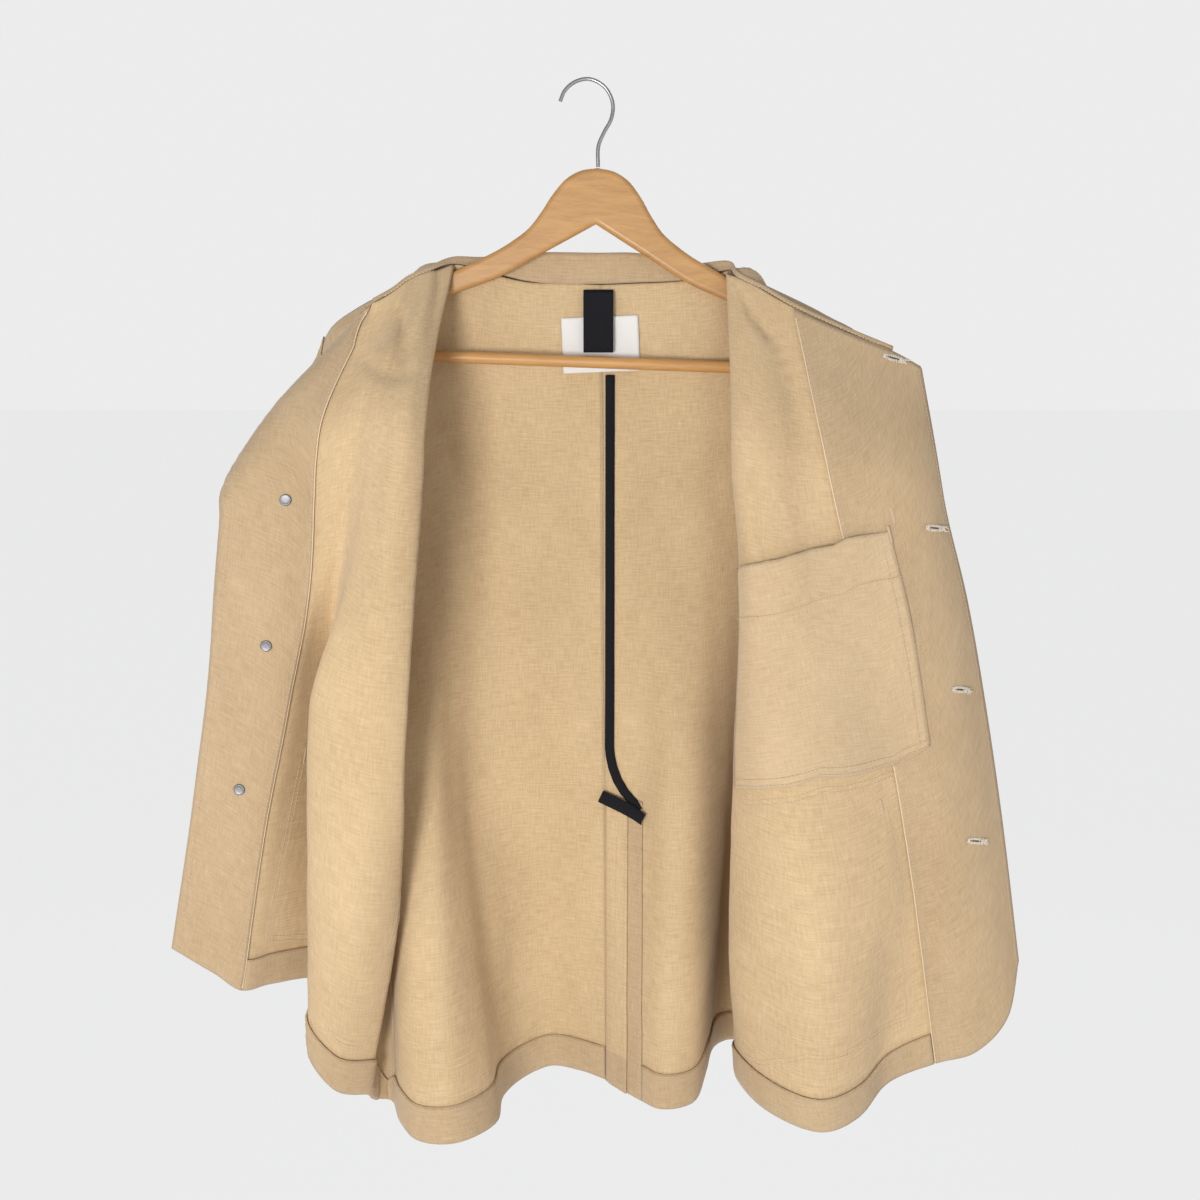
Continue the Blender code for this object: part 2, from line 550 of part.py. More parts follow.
def make_panels():
    made = {
        "front_right": Panel(FRONT_RIGHT, ROLL_ROWS, 1, -1, FINE_STEP, flop),
        "back_right": Panel(BACK_RIGHT, ROWS, -1, 1),
        "back_left": Panel(BACK_LEFT, ROWS, 1, 1),
        "front_left": Panel(FRONT_LEFT, ROWS, -1, -1),
    }
    for name, panel in made.items():
        first = SEAM_TRIM if name.startswith("back") else 0.0
        cloth_from_grid(name, panel.trimmed(first, SIDE_TRIM), CLOTH, "drill_inside")
    return made


def hem_height(panel):
    return lambda column: HEM_DEPTH / panel.column_height(column)


def make_facings_and_hems(panels):
    for side in ("right", "left"):
        front, back = panels["front_" + side], panels["back_" + side]
        seam = front.column_of("facing")
        lay("facing_" + side, front, 0.0, seam, constant(0.0), constant(FACING_TOP), FACING_LIFT)
        lay("hem_front_" + side, front, seam + PIECE_GAP, front.columns[-1] - HEM_END,
            constant(0.0), hem_height(front), FACING_LIFT)
        first = 0.0 if side == "right" else VENT_FACING_END
        lay("hem_back_" + side, back, first + PIECE_GAP, back.columns[-1] - HEM_END,
            constant(0.0), hem_height(back), TOUCH_LIFT)


def edge_through(places):
    """Height of an edge that runs through (column, height) places, for any column."""
    columns, heights = zip(*places)
    return lambda column: float(np.interp(column, columns, heights))


def make_pockets(panels):
    for name, patch in POCKETS.items():
        lay(name, panels[patch.panel], patch.near, patch.far, edge_through(patch.bottom),
            edge_through(patch.top), patch.lift)


def make_vent(panels):
    left = panels["back_left"]
    lay("vent_facing", left, PIECE_GAP, VENT_FACING_END, constant(0.0), constant(VENT_TOP), TOUCH_LIFT)
    lay("vent_extension", left, PIECE_GAP, VENT_EXTENSION_END, constant(0.0), constant(VENT_TOP - 0.01),
        EXTENSION_LIFT, "drill_inside", CLOTH)


def inside_of_back(trees, x, z):
    """Where a line along Y first meets the back's inside."""
    hits = []
    for tree in trees:
        place, _, _, _ = tree.ray_cast(Vector((x, BEFORE_BACK, z)), Vector((0, 1, 0)))
        if place:
            hits.append(place.y)
    return min(hits)


def tree_of(panel):
    columns, rows, _ = panel.grid.shape
    verts = [Vector(point) for column in panel.grid for point in column]
    faces = [(i * rows + j, (i + 1) * rows + j, (i + 1) * rows + j + 1, i * rows + j + 1)
             for i in range(columns - 1) for j in range(rows - 1)]
    return BVHTree.FromPolygons(verts, faces)


def strip_on_back(name, trees, path, width, lift, kind):
    """A tape on the back's inside, along a path of (x, z) points."""
    grid = []
    for side in (-0.5, 0.0, 0.5):
        line = []
        for (x, z), (nx, nz) in zip(path, path_normals(path)):
            px, pz = x + nx * width * side, z + nz * width * side
            line.append((px, inside_of_back(trees, px, pz) - lift, pz))
        grid.append(line)
    return cloth_from_grid(name, grid, TAPE, kind)


def path_normals(path):
    points = np.array(path, float)
    run = np.gradient(points, axis=0)
    run /= np.linalg.norm(run, axis=1)[:, None]
    return [(dz, -dx) for dx, dz in run]


def straight(start, end, count):
    return [tuple(point) for point in np.linspace(start, end, count)]


def make_tapes_and_label(panels):
    trees = [tree_of(panels["back_right"]), tree_of(panels["back_left"])]
    run = straight(*BINDING_STRAIGHT, 10) + list(BINDING_TURN)
    strip_on_back("seam_binding", trees, run, BINDING_WIDTH, TAPE_LIFT, "tape_black")
    strip_on_back("vent_tape", trees, straight(*VENT_TAPE, 5), VENT_TAPE_WIDTH, VENT_TAPE_LIFT, "tape_black")
    strip_on_back("neck_label", trees, straight(*LABEL_AXIS, 4), LABEL_WIDTH, LABEL_LIFT, "label_white")
    loop = [[(x, y, z) for y, z in LOOP_SECTION] for x in LOOP_SIDES]
    cloth_from_grid("hanger_loop", loop, TAPE, "tape_black")


def collar_line(seam, height, arch, edge):
    """The collar's section at one place on the neck seam: stand, fold, fall."""
    start = seam + (0, 0, COLLAR_CLOTH / 2 + COLLAR_LIFT)
    radius = min(COLLAR_ROLL, height * 0.35)
    bend = start + (0, 0, max(height - COLLAR_CLOTH - COLLAR_LIFT - radius, 0.3))
    line = [start]
    for turn in np.radians((0, 60, 120, 180)):
        line.append(bend + (0, radius * (1 - math.cos(turn)), radius * math.sin(turn)))
    last = line[-1]
    for share in (0.35, 0.7, 1.0):
        line.append(last + (edge - last) * share + (0, 0, arch * math.sin(math.pi * share)))
    return line


def make_collar(panels):
    spots = [(panels[row.panel], row) for row in COLLAR]
    seams = np.array([panel.neckline[list(panel.columns).index(panel.column_of(row.fold))]
                      for panel, row in spots])
    shapes = np.array([(row.height, row.arch) for _, row in spots], float)
    edges = np.array([row.edge for _, row in spots], float)
    knots = np.concatenate([[0], np.cumsum(np.linalg.norm(np.diff(seams, axis=0), axis=1))])
    middles = (knots[:-1] + knots[1:]) / 2
    places = np.sort(np.concatenate([knots, middles]))
    shapes, seams, edges = (curve_at(knots, part, slopes_smooth(knots, part), places)
                            for part in (shapes, seams, edges))
    grid = []
    for seam, (height, arch), edge in zip(seams, shapes, edges):
        grid.append(collar_line(seam, height, arch, edge))
    cloth_from_grid("collar", grid, COLLAR_CLOTH, "drill_inside")


def armhole_ring(front, back, shift):
    """The armhole's edge as an even closed ring, moved out along x by shift."""
    rings = []
    for panel in (front, back):
        begin = np.searchsorted(panel.columns, panel.column_of("shoulder_tip"))
        rings.append(panel.grid[begin:, -1])
    loop = np.vstack([rings[0], rings[1][::-1][1:], rings[0][:1]])
    lengths = np.concatenate([[0], np.cumsum(np.linalg.norm(np.diff(loop, axis=0), axis=1))])
    places = lengths[-1] * np.arange(SLEEVE_SIDES) / SLEEVE_SIDES
    ring = np.column_stack([np.interp(places, lengths, loop[:, axis]) for axis in range(3)])
    ring[:, 0] += shift
    return ring


def make_sleeve(name, rings, front, back, shift):
    angles = 2 * math.pi * np.arange(SLEEVE_SIDES) / SLEEVE_SIDES
    grid = [armhole_ring(front, back, shift)]
    for ring in rings:
        outer, inner = np.array(ring.outer, float), np.array(ring.inner, float)
        centre, half = (outer + inner) / 2, (outer - inner) / 2
        grid.append([(centre[0] + half[0] * math.cos(a), ring.y - ring.depth * math.sin(a),
                      centre[1] + half[1] * math.cos(a)) for a in angles])
    columns = np.array(grid).transpose(1, 0, 2)
    cloth_from_grid(name, columns, CLOTH, "drill_face", closed=True)


def make_buttons(panels):
    front = panels["front_right"]
    column = front.column_of("buttons")
    for number, height in enumerate(BUTTON_HEIGHTS, 1):
        middle = front.at(column, height)
        inward = front.at(column, height, 1.0) - middle
        inward /= np.linalg.norm(inward)
        inside = middle + inward * (FACING_LIFT + LINING_CLOTH / 2 + RIVET_GAP)
        outside = middle - inward * (CLOTH / 2 + BUTTON_SHANK)
        turned(f"rivet_{number}", RIVET_BACK, inside, inward, "tack_metal", 10)
        turned(f"button_{number}", BUTTON_HEAD, outside, -inward, "tack_metal", 12)


def make_hanger():
    half = ARM_TOP + ARM_BOTTOM
    outline = list(half) + [(-x, z) for x, z in reversed(half) if x]
    curve = bpy.data.curves.new("hanger_wood", "CURVE")
    curve.dimensions = "2D"
    curve.fill_mode = "BOTH"
    curve.extrude = (HANGER_THICK / 2 - HANGER_ROUND) * MM
    curve.bevel_depth = HANGER_ROUND * MM
    curve.bevel_resolution = 1
    curve.offset = -HANGER_ROUND * MM
    spline = curve.splines.new("POLY")
    spline.points.add(len(outline) - 1)
    spline.use_cyclic_u = True
    for target, (x, z) in zip(spline.points, outline):
        target.co = (x * MM, z * MM, 0, 1)
    wood = add_object("hanger_wood", curve, "hanger_wood")
    stand_up = Matrix.Rotation(math.radians(90), 4, "X")
    lean = Matrix.Rotation(HANGER_TILT, 4, "Y")
    wood.matrix_world = Matrix.Translation((STEM_X * MM, 0, 0)) @ lean @ stand_up
    weld = wood.modifiers.new("weld", "WELD")
    weld.merge_threshold = 0.00005
    left_x, left_z, right_x, right_z = BAR_ENDS
    wire("hanger_bar", [(left_x, 0, left_z), (right_x, 0, right_z)], BAR_RADIUS, "hanger_wood", 3)
    points = np.array([(x, 0, z) for x, z in HOOK_POINTS], float)
    knots = np.concatenate([[0], np.cumsum(np.linalg.norm(np.diff(points, axis=0), axis=1))])
    run = curve_at(knots, points, slopes_smooth(knots, points), np.linspace(0, knots[-1], 30))
    wire("hanger_hook", run, WIRE_RADIUS, "hook_steel", 2)


clear_scene()
collection = bpy.data.collections.new("chore_jacket")
bpy.context.scene.collection.children.link(collection)
cloth_panels = make_panels()
make_facings_and_hems(cloth_panels)
make_pockets(cloth_panels)
make_vent(cloth_panels)
make_tapes_and_label(cloth_panels)
make_collar(cloth_panels)
for side, rings, outward in (("right", SLEEVE_RIGHT, -1), ("left", SLEEVE_LEFT, 1)):
    make_sleeve("sleeve_" + side, rings, cloth_panels["front_" + side], cloth_panels["back_" + side],
                outward * ARMHOLE_GAP)
make_buttons(cloth_panels)
make_hanger()
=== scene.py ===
import math
from collections import namedtuple

import bpy
import numpy as np
from mathutils import Matrix, Vector, noise
from mathutils.bvhtree import BVHTree


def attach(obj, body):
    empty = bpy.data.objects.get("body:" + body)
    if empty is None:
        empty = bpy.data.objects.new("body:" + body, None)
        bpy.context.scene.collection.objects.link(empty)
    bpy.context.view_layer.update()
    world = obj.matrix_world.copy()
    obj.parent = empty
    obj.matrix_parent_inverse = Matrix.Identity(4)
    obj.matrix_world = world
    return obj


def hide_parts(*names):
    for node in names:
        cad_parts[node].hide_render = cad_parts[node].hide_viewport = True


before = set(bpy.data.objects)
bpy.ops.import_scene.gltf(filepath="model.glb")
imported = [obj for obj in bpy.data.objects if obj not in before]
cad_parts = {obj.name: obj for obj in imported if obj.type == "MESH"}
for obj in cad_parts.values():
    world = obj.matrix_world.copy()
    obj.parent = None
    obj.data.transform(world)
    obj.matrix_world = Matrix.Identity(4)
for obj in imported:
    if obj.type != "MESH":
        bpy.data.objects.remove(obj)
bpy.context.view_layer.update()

# ---------------- the view
# A standing photographer's camera, a little above the middle of the jacket and tipped
# down eight degrees, with the lens of a short telephoto.
camera = bpy.data.objects.new("camera", bpy.data.cameras.new("camera"))
bpy.context.scene.collection.objects.link(camera)
camera.location = (0.0089, -1.3369, -0.2381)
camera.rotation_euler = (math.radians(82), 0, 0)
camera.data.sensor_width = 36
camera.data.lens = 47.64
bpy.context.scene.camera = camera

# ---------------- the four body panels
# Cut pieces of heavy cotton drill: two back halves with a centre seam, two fronts. They hang
# from the shoulders in soft flutes; each front is turned outwards, so its inside shows.
MM = 0.001
CLOTH = 1.6

# Each row is one fold line: hem x y z; x y at the low, mid, chest and high levels; how far before
# or behind the shoulder the cloth rolls over it (0: it does not); top x y z.
HIGH, ROLL = 0.80, 0.985
LEVELS = np.array((0, 0.25, 0.46, 0.63, HIGH, ROLL, 1))
SIDE_SEAM_RIGHT = (-176, -26, -861, -180, -30, -181, -33, -184, -31, -193, -20, 0, -210, -6, -460)
SIDE_SEAM_LEFT = (148, 62, -854, 152, 26, 166, -2, 182, -10, 200, -10, 0, 214, -6, -464)
CENTRE_BACK = (15, 2, -856, 14, 8, 13, 12, 12, 16, 12, 20, 0, 10, 17, -162)

FRONT_RIGHT = {
    "edge": (-345, -75, -706, -322, -80, -305, -85, -295, -92, -286, -90, 0, -279, -67, -210),
    "buttons": (-309, -80, -726, -287, -88, -262, -95, -244, -104, -234, -96, 0, -237, -58, -199),
    "facing": (-289, -76, -742, -264, -84, -238, -90, -218, -98, -211, -94, 0, -173, -44, -180),
    "pocket": (-270, -60, -743, -247, -68, -224, -74, -208, -98, -192, -100, 0, -156, -34, -169),
    "valley": (-229, -33, -750, -222, -43, -213, -62, -196, -97, -179, -103, 0, -149, -30, -163),
    "inlet": (-218, -48, -772, -211, -64, -208, -84, -190, -105, -170, -108, 0, -144, -27, -159),
    "lip": (-235, -70, -797, -228, -92, -221, -106, -185, -116, -162, -110, 0, -139, -24, -156),
    "bulge": (-214, -67, -834, -190, -106, -178, -124, -160, -128, -143, -116, 0, -129, -20, -153),
    "ridge": (-190, -49, -846, -158, -76, -145, -112, -137, -116, -128, -104, 0, -124, -13, -152),
    "neck": (-189, -45, -850, -167, -70, -153, -101, -147, -104, -136, -82, -9, -112, -1.1, -146.5),
    "shoulder_in": (-188, -42, -853, -173, -63, -163, -88, -162, -84, -152, -56, -9, -150, -1.1, -163),
    "shoulder_mid": (-187, -38.5, -856, -178, -55, -173, -74, -179, -66, -180, -42, -9, -190, -1.1, -181),
    "shoulder_tip": (-185.5, -34, -858, -182, -47, -181, -61, -190, -58, -201, -42, -9, -218, -1.1, -205),
    "armhole_high": (-183.5, -30.5, -859, -184, -40, -184, -51, -192, -50, -206, -42, 0, -212, -28, -290),
    "armhole_low": (-180, -27.5, -860, -183.5, -34, -184, -42, -189, -41, -200, -38, 0, -207, -36, -390),
    "side": SIDE_SEAM_RIGHT,
}
BACK_RIGHT = {
    "centre": CENTRE_BACK,
    "blade_in": (-7, 20, -856, -9, 18, -10, 17, -13, 18, -16, 22, 0, -18, 17, -161),
    "hollow": (-35, 36, -858, -41, 30, -45, 24, -47, 20, -50, 24, 0, -50, 16, -160),
    "hollow_out": (-62, 22, -864, -70, 25, -79, 24, -78, 22, -80, 24, 0, -75, 13, -155),
    "flute_in": (-78, -6, -868, -94, 2, -104, 14, -103, 20, -102, 22, 0, -92, 9.5, -150),
    "neck": (-82, -55, -870, -104, -28, -118, -6, -122, 14, -120, 20, 9, -112, 1.1, -146.5),
    "flute": (-114, -86, -872, -125, -60, -131, -34, -138, 12, -135, 20, 9, -130, 1.1, -154.5),
    "flute_out": (-144, -80, -872, -148, -58, -150, -38, -158, 10, -155, 19, 9, -160, 1.1, -167.5),
    "shoulder_mid": (-160, -58, -866, -161, -50, -164, -38, -178, 8, -182, 18, 9, -195, 1.1, -184),
    "shoulder_tip": (-166, -38, -863, -167, -41, -177, -24, -200, 8, -212, 20, 9, -218, 1.1, -205),
    "armhole_high": (-169, -31, -862, -170, -36, -176, -29, -194, 4, -211, 26, 0, -217, 36, -290),
    "armhole_low": (-172, -27.5, -861, -174.5, -31.5, -177, -32, -187, -16, -204, 14, 0, -211, 38, -390),
    "side": SIDE_SEAM_RIGHT,
}
BACK_LEFT = {
    "centre": CENTRE_BACK,
    "flute_in": (44, -32, -859, 44, -8, 44, 8, 43, 15, 43, 20, 0, 36, 16, -161),
    "flute": (62, -46, -861, 67, -32, 70, -14, 70, 8, 70, 18, 0, 63, 15, -160),
    "flute_out": (87, -36, -860, 91, -30, 94, -14, 94, 8, 94, 16, 0, 88, 12, -158),
    "hollow_in": (102, 8, -852, 113, 0, 116, 6, 116, 14, 113, 18, 0, 105, 9, -155),
    "neck": (112, 60, -852, 124, 40, 133, 28, 134, 22, 129, 20, 9, 117, 1.1, -151.5),
    "hollow": (122, 78, -853, 134, 52, 145, 34, 154, 24, 152, 20, 9, 155, 1.1, -168),
    "shoulder_mid": (132, 85, -854, 142, 54, 155, 34, 174, 24, 176, 20, 9, 196, 1.1, -188),
    "shoulder_tip": (140, 84, -855, 149, 50, 168, 30, 192, 26, 214, 26, 9, 228, 1.1, -209),
    "armhole_high": (145, 79, -855, 152, 46, 168, 22, 188, 22, 212, 32, 0, 226, 36, -296),
    "armhole_low": (148, 71, -854, 153, 38, 167, 12, 182, 8, 206, 22, 0, 222, 38, -394),
    "side": SIDE_SEAM_LEFT,
}
FRONT_LEFT = {
    "edge": (359, -60, -722, 339, -66, 319, -74, 300, -82, 278, -84, 0, 264, -60, -230),
    "buttonholes": (351, -60, -775, 321, -76, 300, -88, 281, -98, 261, -98, 0, 242, -58, -218),
    "stitching": (327, -54, -806, 297, -78, 275, -94, 253, -104, 226, -102, 0, 202, -50, -201),
    "facing": (296, -46, -819, 267, -74, 239, -96, 212, -106, 186, -100, 0, 164, -42, -183),
    "pocket": (255, -40, -840, 249, -80, 216, -104, 181, -112, 160, -100, 0, 151, -34, -175),
    "step": (228, -63, -859, 224, -94, 193, -112, 164, -116, 148, -102, 0, 140, -28, -168),
    "bulge": (196, -75, -867, 179, -106, 157, -116, 145, -116, 138, -100, 0, 131, -22, -162),
    "ridge_out": (151, -46, -860, 143, -84, 132, -104, 129, -110, 124, -94, 0, 121, -18, -158),
    "ridge": (130, -4, -850, 118, -48, 118, -78, 121, -92, 114, -82, 0, 113, -12, -155),
    "neck": (132, 6, -850, 124, -38, 126, -68, 132, -82, 124, -66, -9, 117, -1.1, -151.5),
    "shoulder_in": (134, 16, -851, 131, -28, 136, -58, 148, -70, 146, -48, -9, 155, -1.1, -168),
    "shoulder_mid": (137, 26, -852, 137, -18, 147, -48, 166, -60, 178, -40, -9, 196, -1.1, -188),
    "shoulder_tip": (141, 36, -853, 143, -8, 159, -42, 190, -54, 210, -40, -9, 228, -1.1, -209),
    "armhole_high": (144, 45, -853, 147, 2, 162, -30, 188, -46, 208, -46, 0, 224, -34, -296),
    "armhole_low": (147, 54, -854, 149, 14, 163, -16, 180, -34, 200, -38, 0, 216, -42, -394),
    "side": SIDE_SEAM_LEFT,
}
SHOULDER_GAP = 0.85     # half the space between the front and the back along the shoulder
ARM_ZONE = -240.0       # above this height the hanger's arms lie between them
ROWS = np.concatenate([np.linspace(0, 0.9, 118)[:-1], np.linspace(0.9, 1, 30)])


def slopes_smooth(knots, values):
    steps = np.diff(knots)[:, None]
    rise = np.diff(values, axis=0) / steps
    slopes = np.empty_like(values)
    slopes[0], slopes[-1] = rise[0], rise[-1]
    slopes[1:-1] = (rise[:-1] * steps[1:] + rise[1:] * steps[:-1]) / (steps[:-1] + steps[1:])
    return slopes


def slopes_level(knots, values):
    """Slopes that never overshoot: level at every crest and hollow."""
    rise = np.diff(values, axis=0) / np.diff(knots)[:, None]
    slopes = np.zeros_like(values)
    slopes[0], slopes[-1] = rise[0], rise[-1]
    product, total = rise[:-1] * rise[1:], rise[:-1] + rise[1:]
    slopes[1:-1] = np.where(product > 0, 2 * product / np.where(np.abs(total) > 1e-9, total, 1), 0)
    return slopes


def curve_at(knots, values, places, slopes_of=slopes_smooth):
    """A cubic through the values at the knots, read at the places."""
    slopes = slopes_of(knots, values)
    spans = np.clip(np.searchsorted(knots, places, side="right") - 1, 0, len(knots) - 2)
    width = (knots[spans + 1] - knots[spans])[:, None]
    t = ((places - knots[spans]) / width[:, 0])[:, None]
    return ((2 * t**3 - 3 * t**2 + 1) * values[spans] + (t**3 - 2 * t**2 + t) * slopes[spans] * width
            + (3 * t**2 - 2 * t**3) * values[spans + 1] + (t**3 - t**2) * slopes[spans + 1] * width)


def reach_of(points):
    """How far along a line each of its points lies."""
    return np.concatenate([[0], np.cumsum(np.linalg.norm(np.diff(points, axis=0), axis=1))])


def fold_points(row):
    hem, across, roll, top = row[:3], np.reshape(row[3:11], (4, 2)), row[11], row[12:]
    lean = (ROLL - HIGH) / (1 - HIGH)
    (high_x, high_y) = across[-1]
    roll_x = high_x + (top[0] - high_x) * lean
    roll_y = top[1] + roll if roll else high_y + (top[1] - high_y) * lean
    sides = np.vstack([hem[:2], across, (roll_x, roll_y), top[:2]])
    return curve_at(LEVELS, np.column_stack([sides, hem[2] + (top[2] - hem[2]) * LEVELS]), ROWS, slopes_level)


def unit(vectors):
    return vectors / np.linalg.norm(vectors, axis=-1, keepdims=True)


def smooth_step(x):
    x = np.clip(x, 0, 1)
    return x * x * (3 - 2 * x)


def normals_of(grid):
    return unit(np.cross(np.gradient(grid, axis=0), np.gradient(grid, axis=1)))


class Panel:
    """A cut piece as a fine grid: columns run up its fold lines, rows across it."""

    def __init__(self, folds, inward, side, creases, ripple, bend=None):
        self.names, self.inward = list(folds), inward
        lines = np.array([fold_points(fold) for fold in folds.values()])
        widths = np.linalg.norm(np.diff(lines, axis=0), axis=2).mean(axis=1)
        counts = [max(3, round(width / 4.5)) for width in widths]
        self.columns = np.concatenate([i + np.arange(n) / n for i, n in enumerate(counts)] + [[len(counts)]])
        grid = np.empty((len(self.columns), len(ROWS), 3))
        for j in range(len(ROWS)):
            row = lines[:, j]
            knots = np.concatenate([[0], np.cumsum(np.sqrt(np.linalg.norm(np.diff(row, axis=0), axis=1)))])
            places = np.interp(self.columns, np.arange(len(knots)), knots)
            grid[:, j] = curve_at(knots, row, places)
        over_arm = grid[..., 2] > ARM_ZONE
        grid[..., 1] = np.where(over_arm, side * np.maximum(side * grid[..., 1], SHOULDER_GAP), grid[..., 1])
        self.neckline = grid[:, -1].copy()
        if bend:
            opened = self.columns <= self.names.index("ridge")
            grid[opened] = bend(grid[opened])
        steps = np.linalg.norm(np.diff(grid, axis=0), axis=2)
        self.across = np.concatenate([[0], np.cumsum(np.median(steps, axis=1))])
        self.tall = float(np.median(np.linalg.norm(np.diff(grid, axis=1), axis=2).sum(axis=1)))
        self.grid = grid
        shift = sum((self.crease_shift(*crease) for crease in creases), self.ripple_shift(ripple))
        self.grid = grid + self.inner() * shift[..., None]
        self.normals = self.inner()

    def inner(self):
        return self.inward * normals_of(self.grid)

    def crease_shift(self, start, end, bow, width, depth, first, last):
        """A crease from start to end in (x, z), bowed in its middle, between two of the fold lines."""
        start, end = np.array(start, float), np.array(end, float)
        run = end - start
        bulge = (start + end) / 2 + unit(np.array([-run[1], run[0]])) * bow * 2
        t = np.linspace(0, 1, 14)[:, None]
        path = (1 - t)**2 * start + 2 * t * (1 - t) * bulge + t**2 * end
        flat = self.grid[..., (0, 2)].reshape(-1, 1, 2)
        away = np.linalg.norm(flat - path[None], axis=2)
        nearest = away.argmin(axis=1)
        share = nearest / (len(path) - 1)
        fade = np.sqrt(np.clip(4 * share * (1 - share) + 0.12, 0, 1))
        height = np.exp(-(away.min(axis=1) / width)**2) * fade
        first, last = self.names.index(first), self.names.index(last)
        within = (smooth_step((self.columns - first + 0.3) / 0.3)
                  * smooth_step((last + 0.3 - self.columns) / 0.3))
        return depth * height.reshape(self.grid.shape[:2]) * within[:, None]

    def ripple_shift(self, seed):
        shift = np.empty(self.grid.shape[:2])
        for i, u in enumerate(self.across):
            for j, v in enumerate(ROWS * self.tall):
                shift[i, j] = (noise.noise((u / 34, v / 60, seed))
                               + 0.5 * noise.noise((u / 15, v / 24, seed + 9)))
        edge = np.minimum(self.across, self.across[-1] - self.across)[:, None]
        calm = smooth_step(edge / 20) * smooth_step((1 - ROWS)[None] / 0.05)
        return shift * calm * 0.7

    def column_of(self, name):
        return float(self.names.index(name))

    def spot(self, column, height):
        """Grid cell and shares inside it, for columns and heights."""
        i = np.interp(column, self.columns, np.arange(len(self.columns)))
        j = np.interp(height, ROWS, np.arange(len(ROWS)))
        i0 = np.minimum(i.astype(int), len(self.columns) - 2)
        j0 = np.minimum(j.astype(int), len(ROWS) - 2)
        return i0, j0, (i - i0)[..., None], (j - j0)[..., None]

    def at(self, column, height, lift=0.0):
        """Points on the panel, moved towards the garment's inside by lift."""
        column, height, lift = np.broadcast_arrays(np.asarray(column, float), height, lift)
        i, j, a, b = self.spot(column, height)
        place, normal = (((f[i, j] * (1 - a) + f[i + 1, j] * a) * (1 - b)
                          + (f[i, j + 1] * (1 - a) + f[i + 1, j + 1] * a) * b)
                         for f in (self.grid, self.normals))
        return place + normal * lift[..., None]

    def cut_at(self, column, height):
        """The same places on the flat cut piece, in millimetres."""
        column, height = np.broadcast_arrays(np.asarray(column, float), height)
        return np.stack([np.interp(column, self.columns, self.across), height * self.tall], axis=-1)


class Shade:
    """A shader socket for Python arithmetic; node() makes any node that isn't arithmetic."""

    def __init__(self, tree, socket=None):
        self.tree, self.socket = tree, socket

    def node(self, kind, settings, sockets, output=0):
        made = self.tree.nodes.new("ShaderNode" + kind)
        for name, value in settings.items():
            setattr(made, name, value)
        for name, value in sockets.items():
            if isinstance(value, Shade):
                self.tree.links.new(value.socket, made.inputs[name])
            else:
                made.inputs[name].default_value = value
        return Shade(self.tree, made.outputs[output])

    def maths(self, operation, first, second=0.0):
        return self.node("Math", {"operation": operation}, {0: first, 1: second})

    def __add__(self, other):
        return self.maths("ADD", self, other)

    def __sub__(self, other):
        return self.maths("SUBTRACT", self, other)

    def __rsub__(self, other):
        return self.maths("SUBTRACT", other, self)

    def __mul__(self, other):
        return self.maths("MULTIPLY", self, other)

    __radd__, __rmul__ = __add__, __mul__

    def sine(self):
        return self.maths("SINE", self, 0)

    def blend(self, low, high):
        """A colour from low to high as this value goes from 0 to 1."""
        low, high = (part if isinstance(part, Shade) else (*part, 1) for part in (low, high))
        return self.node("Mix", {"data_type": "RGBA"}, {0: self, 6: low, 7: high}, 2)

    def laid_out(self):
        """Places on the flat cut piece, in metres: both as one vector, then across and along."""
        cut = self.node("Attribute", {"attribute_name": "cut"}, {}, "Vector")
        return cut, *(self.node("SeparateXYZ", {}, {0: cut}, axis) for axis in "XY")

    def noise(self, place, stretch, detail=2.0):
        """Soft noise, 0 to 1, with its own scale on each axis."""
        moved = self.node("VectorMath", {"operation": "MULTIPLY"}, {0: place, 1: stretch})
        return self.node("TexNoise", {}, {"Vector": moved, "Scale": 1.0, "Detail": detail})

    def bump(self, height, strength, distance):
        return self.node("Bump", {}, {"Height": height, "Strength": strength, "Distance": distance})


def finish_of(name, constants):
    """A Principled material with constant sockets, a Shade to build on, and a way to link."""
    material = bpy.data.materials.new(name)
    material.use_nodes = True
    shader = material.node_tree.nodes["Principled BSDF"]
    for socket, value in constants.items():
        shader.inputs[socket].default_value = value
    base = Shade(material.node_tree)

    def link(socket, shade):
        material.node_tree.links.new(shade.socket, shader.inputs[socket])
    return material, base, link


def flecked(name, constants, stretch, detail, deep, light):
    """A finish with fine flecks from a deep to a light colour."""
    material, base, link = finish_of(name, constants)
    fleck = base.noise(base.node("TexCoord", {}, {}, "Object"), stretch, detail)
    link("Base Color", fleck.blend(deep, light))
    return material, fleck, link


def drill(name, light, deep):
    """Cotton drill: a fine diagonal twill of uneven yarns, a little clouded by washing."""
    material, base, link = finish_of(name, {"Roughness": 0.92, "Sheen Weight": 0.18, "Sheen Roughness": 0.5,
                                            "Specular IOR Level": 0.18})
    cut, across, along = base.laid_out()
    twill = ((across + along * 0.8) * 5400).sine()
    warp = base.noise(cut, (820, 80, 0))
    weft = base.noise(cut, (70, 820, 0))
    fleck = base.noise(cut, (1300, 1300, 0), 4)
    clouds = base.noise(cut, (13, 9, 0), 3)
    tone = (0.5 + (warp - 0.5) * 1.0 + (weft - 0.5) * 1.3 + (fleck - 0.5) * 0.9 + (clouds - 0.5) * 0.9
            + twill * 0.08)
    link("Base Color", tone.blend(deep, light))
    link("Normal", base.bump(warp + weft + twill * 0.25 + fleck * 0.6, 0.55, 0.0005))
    return material


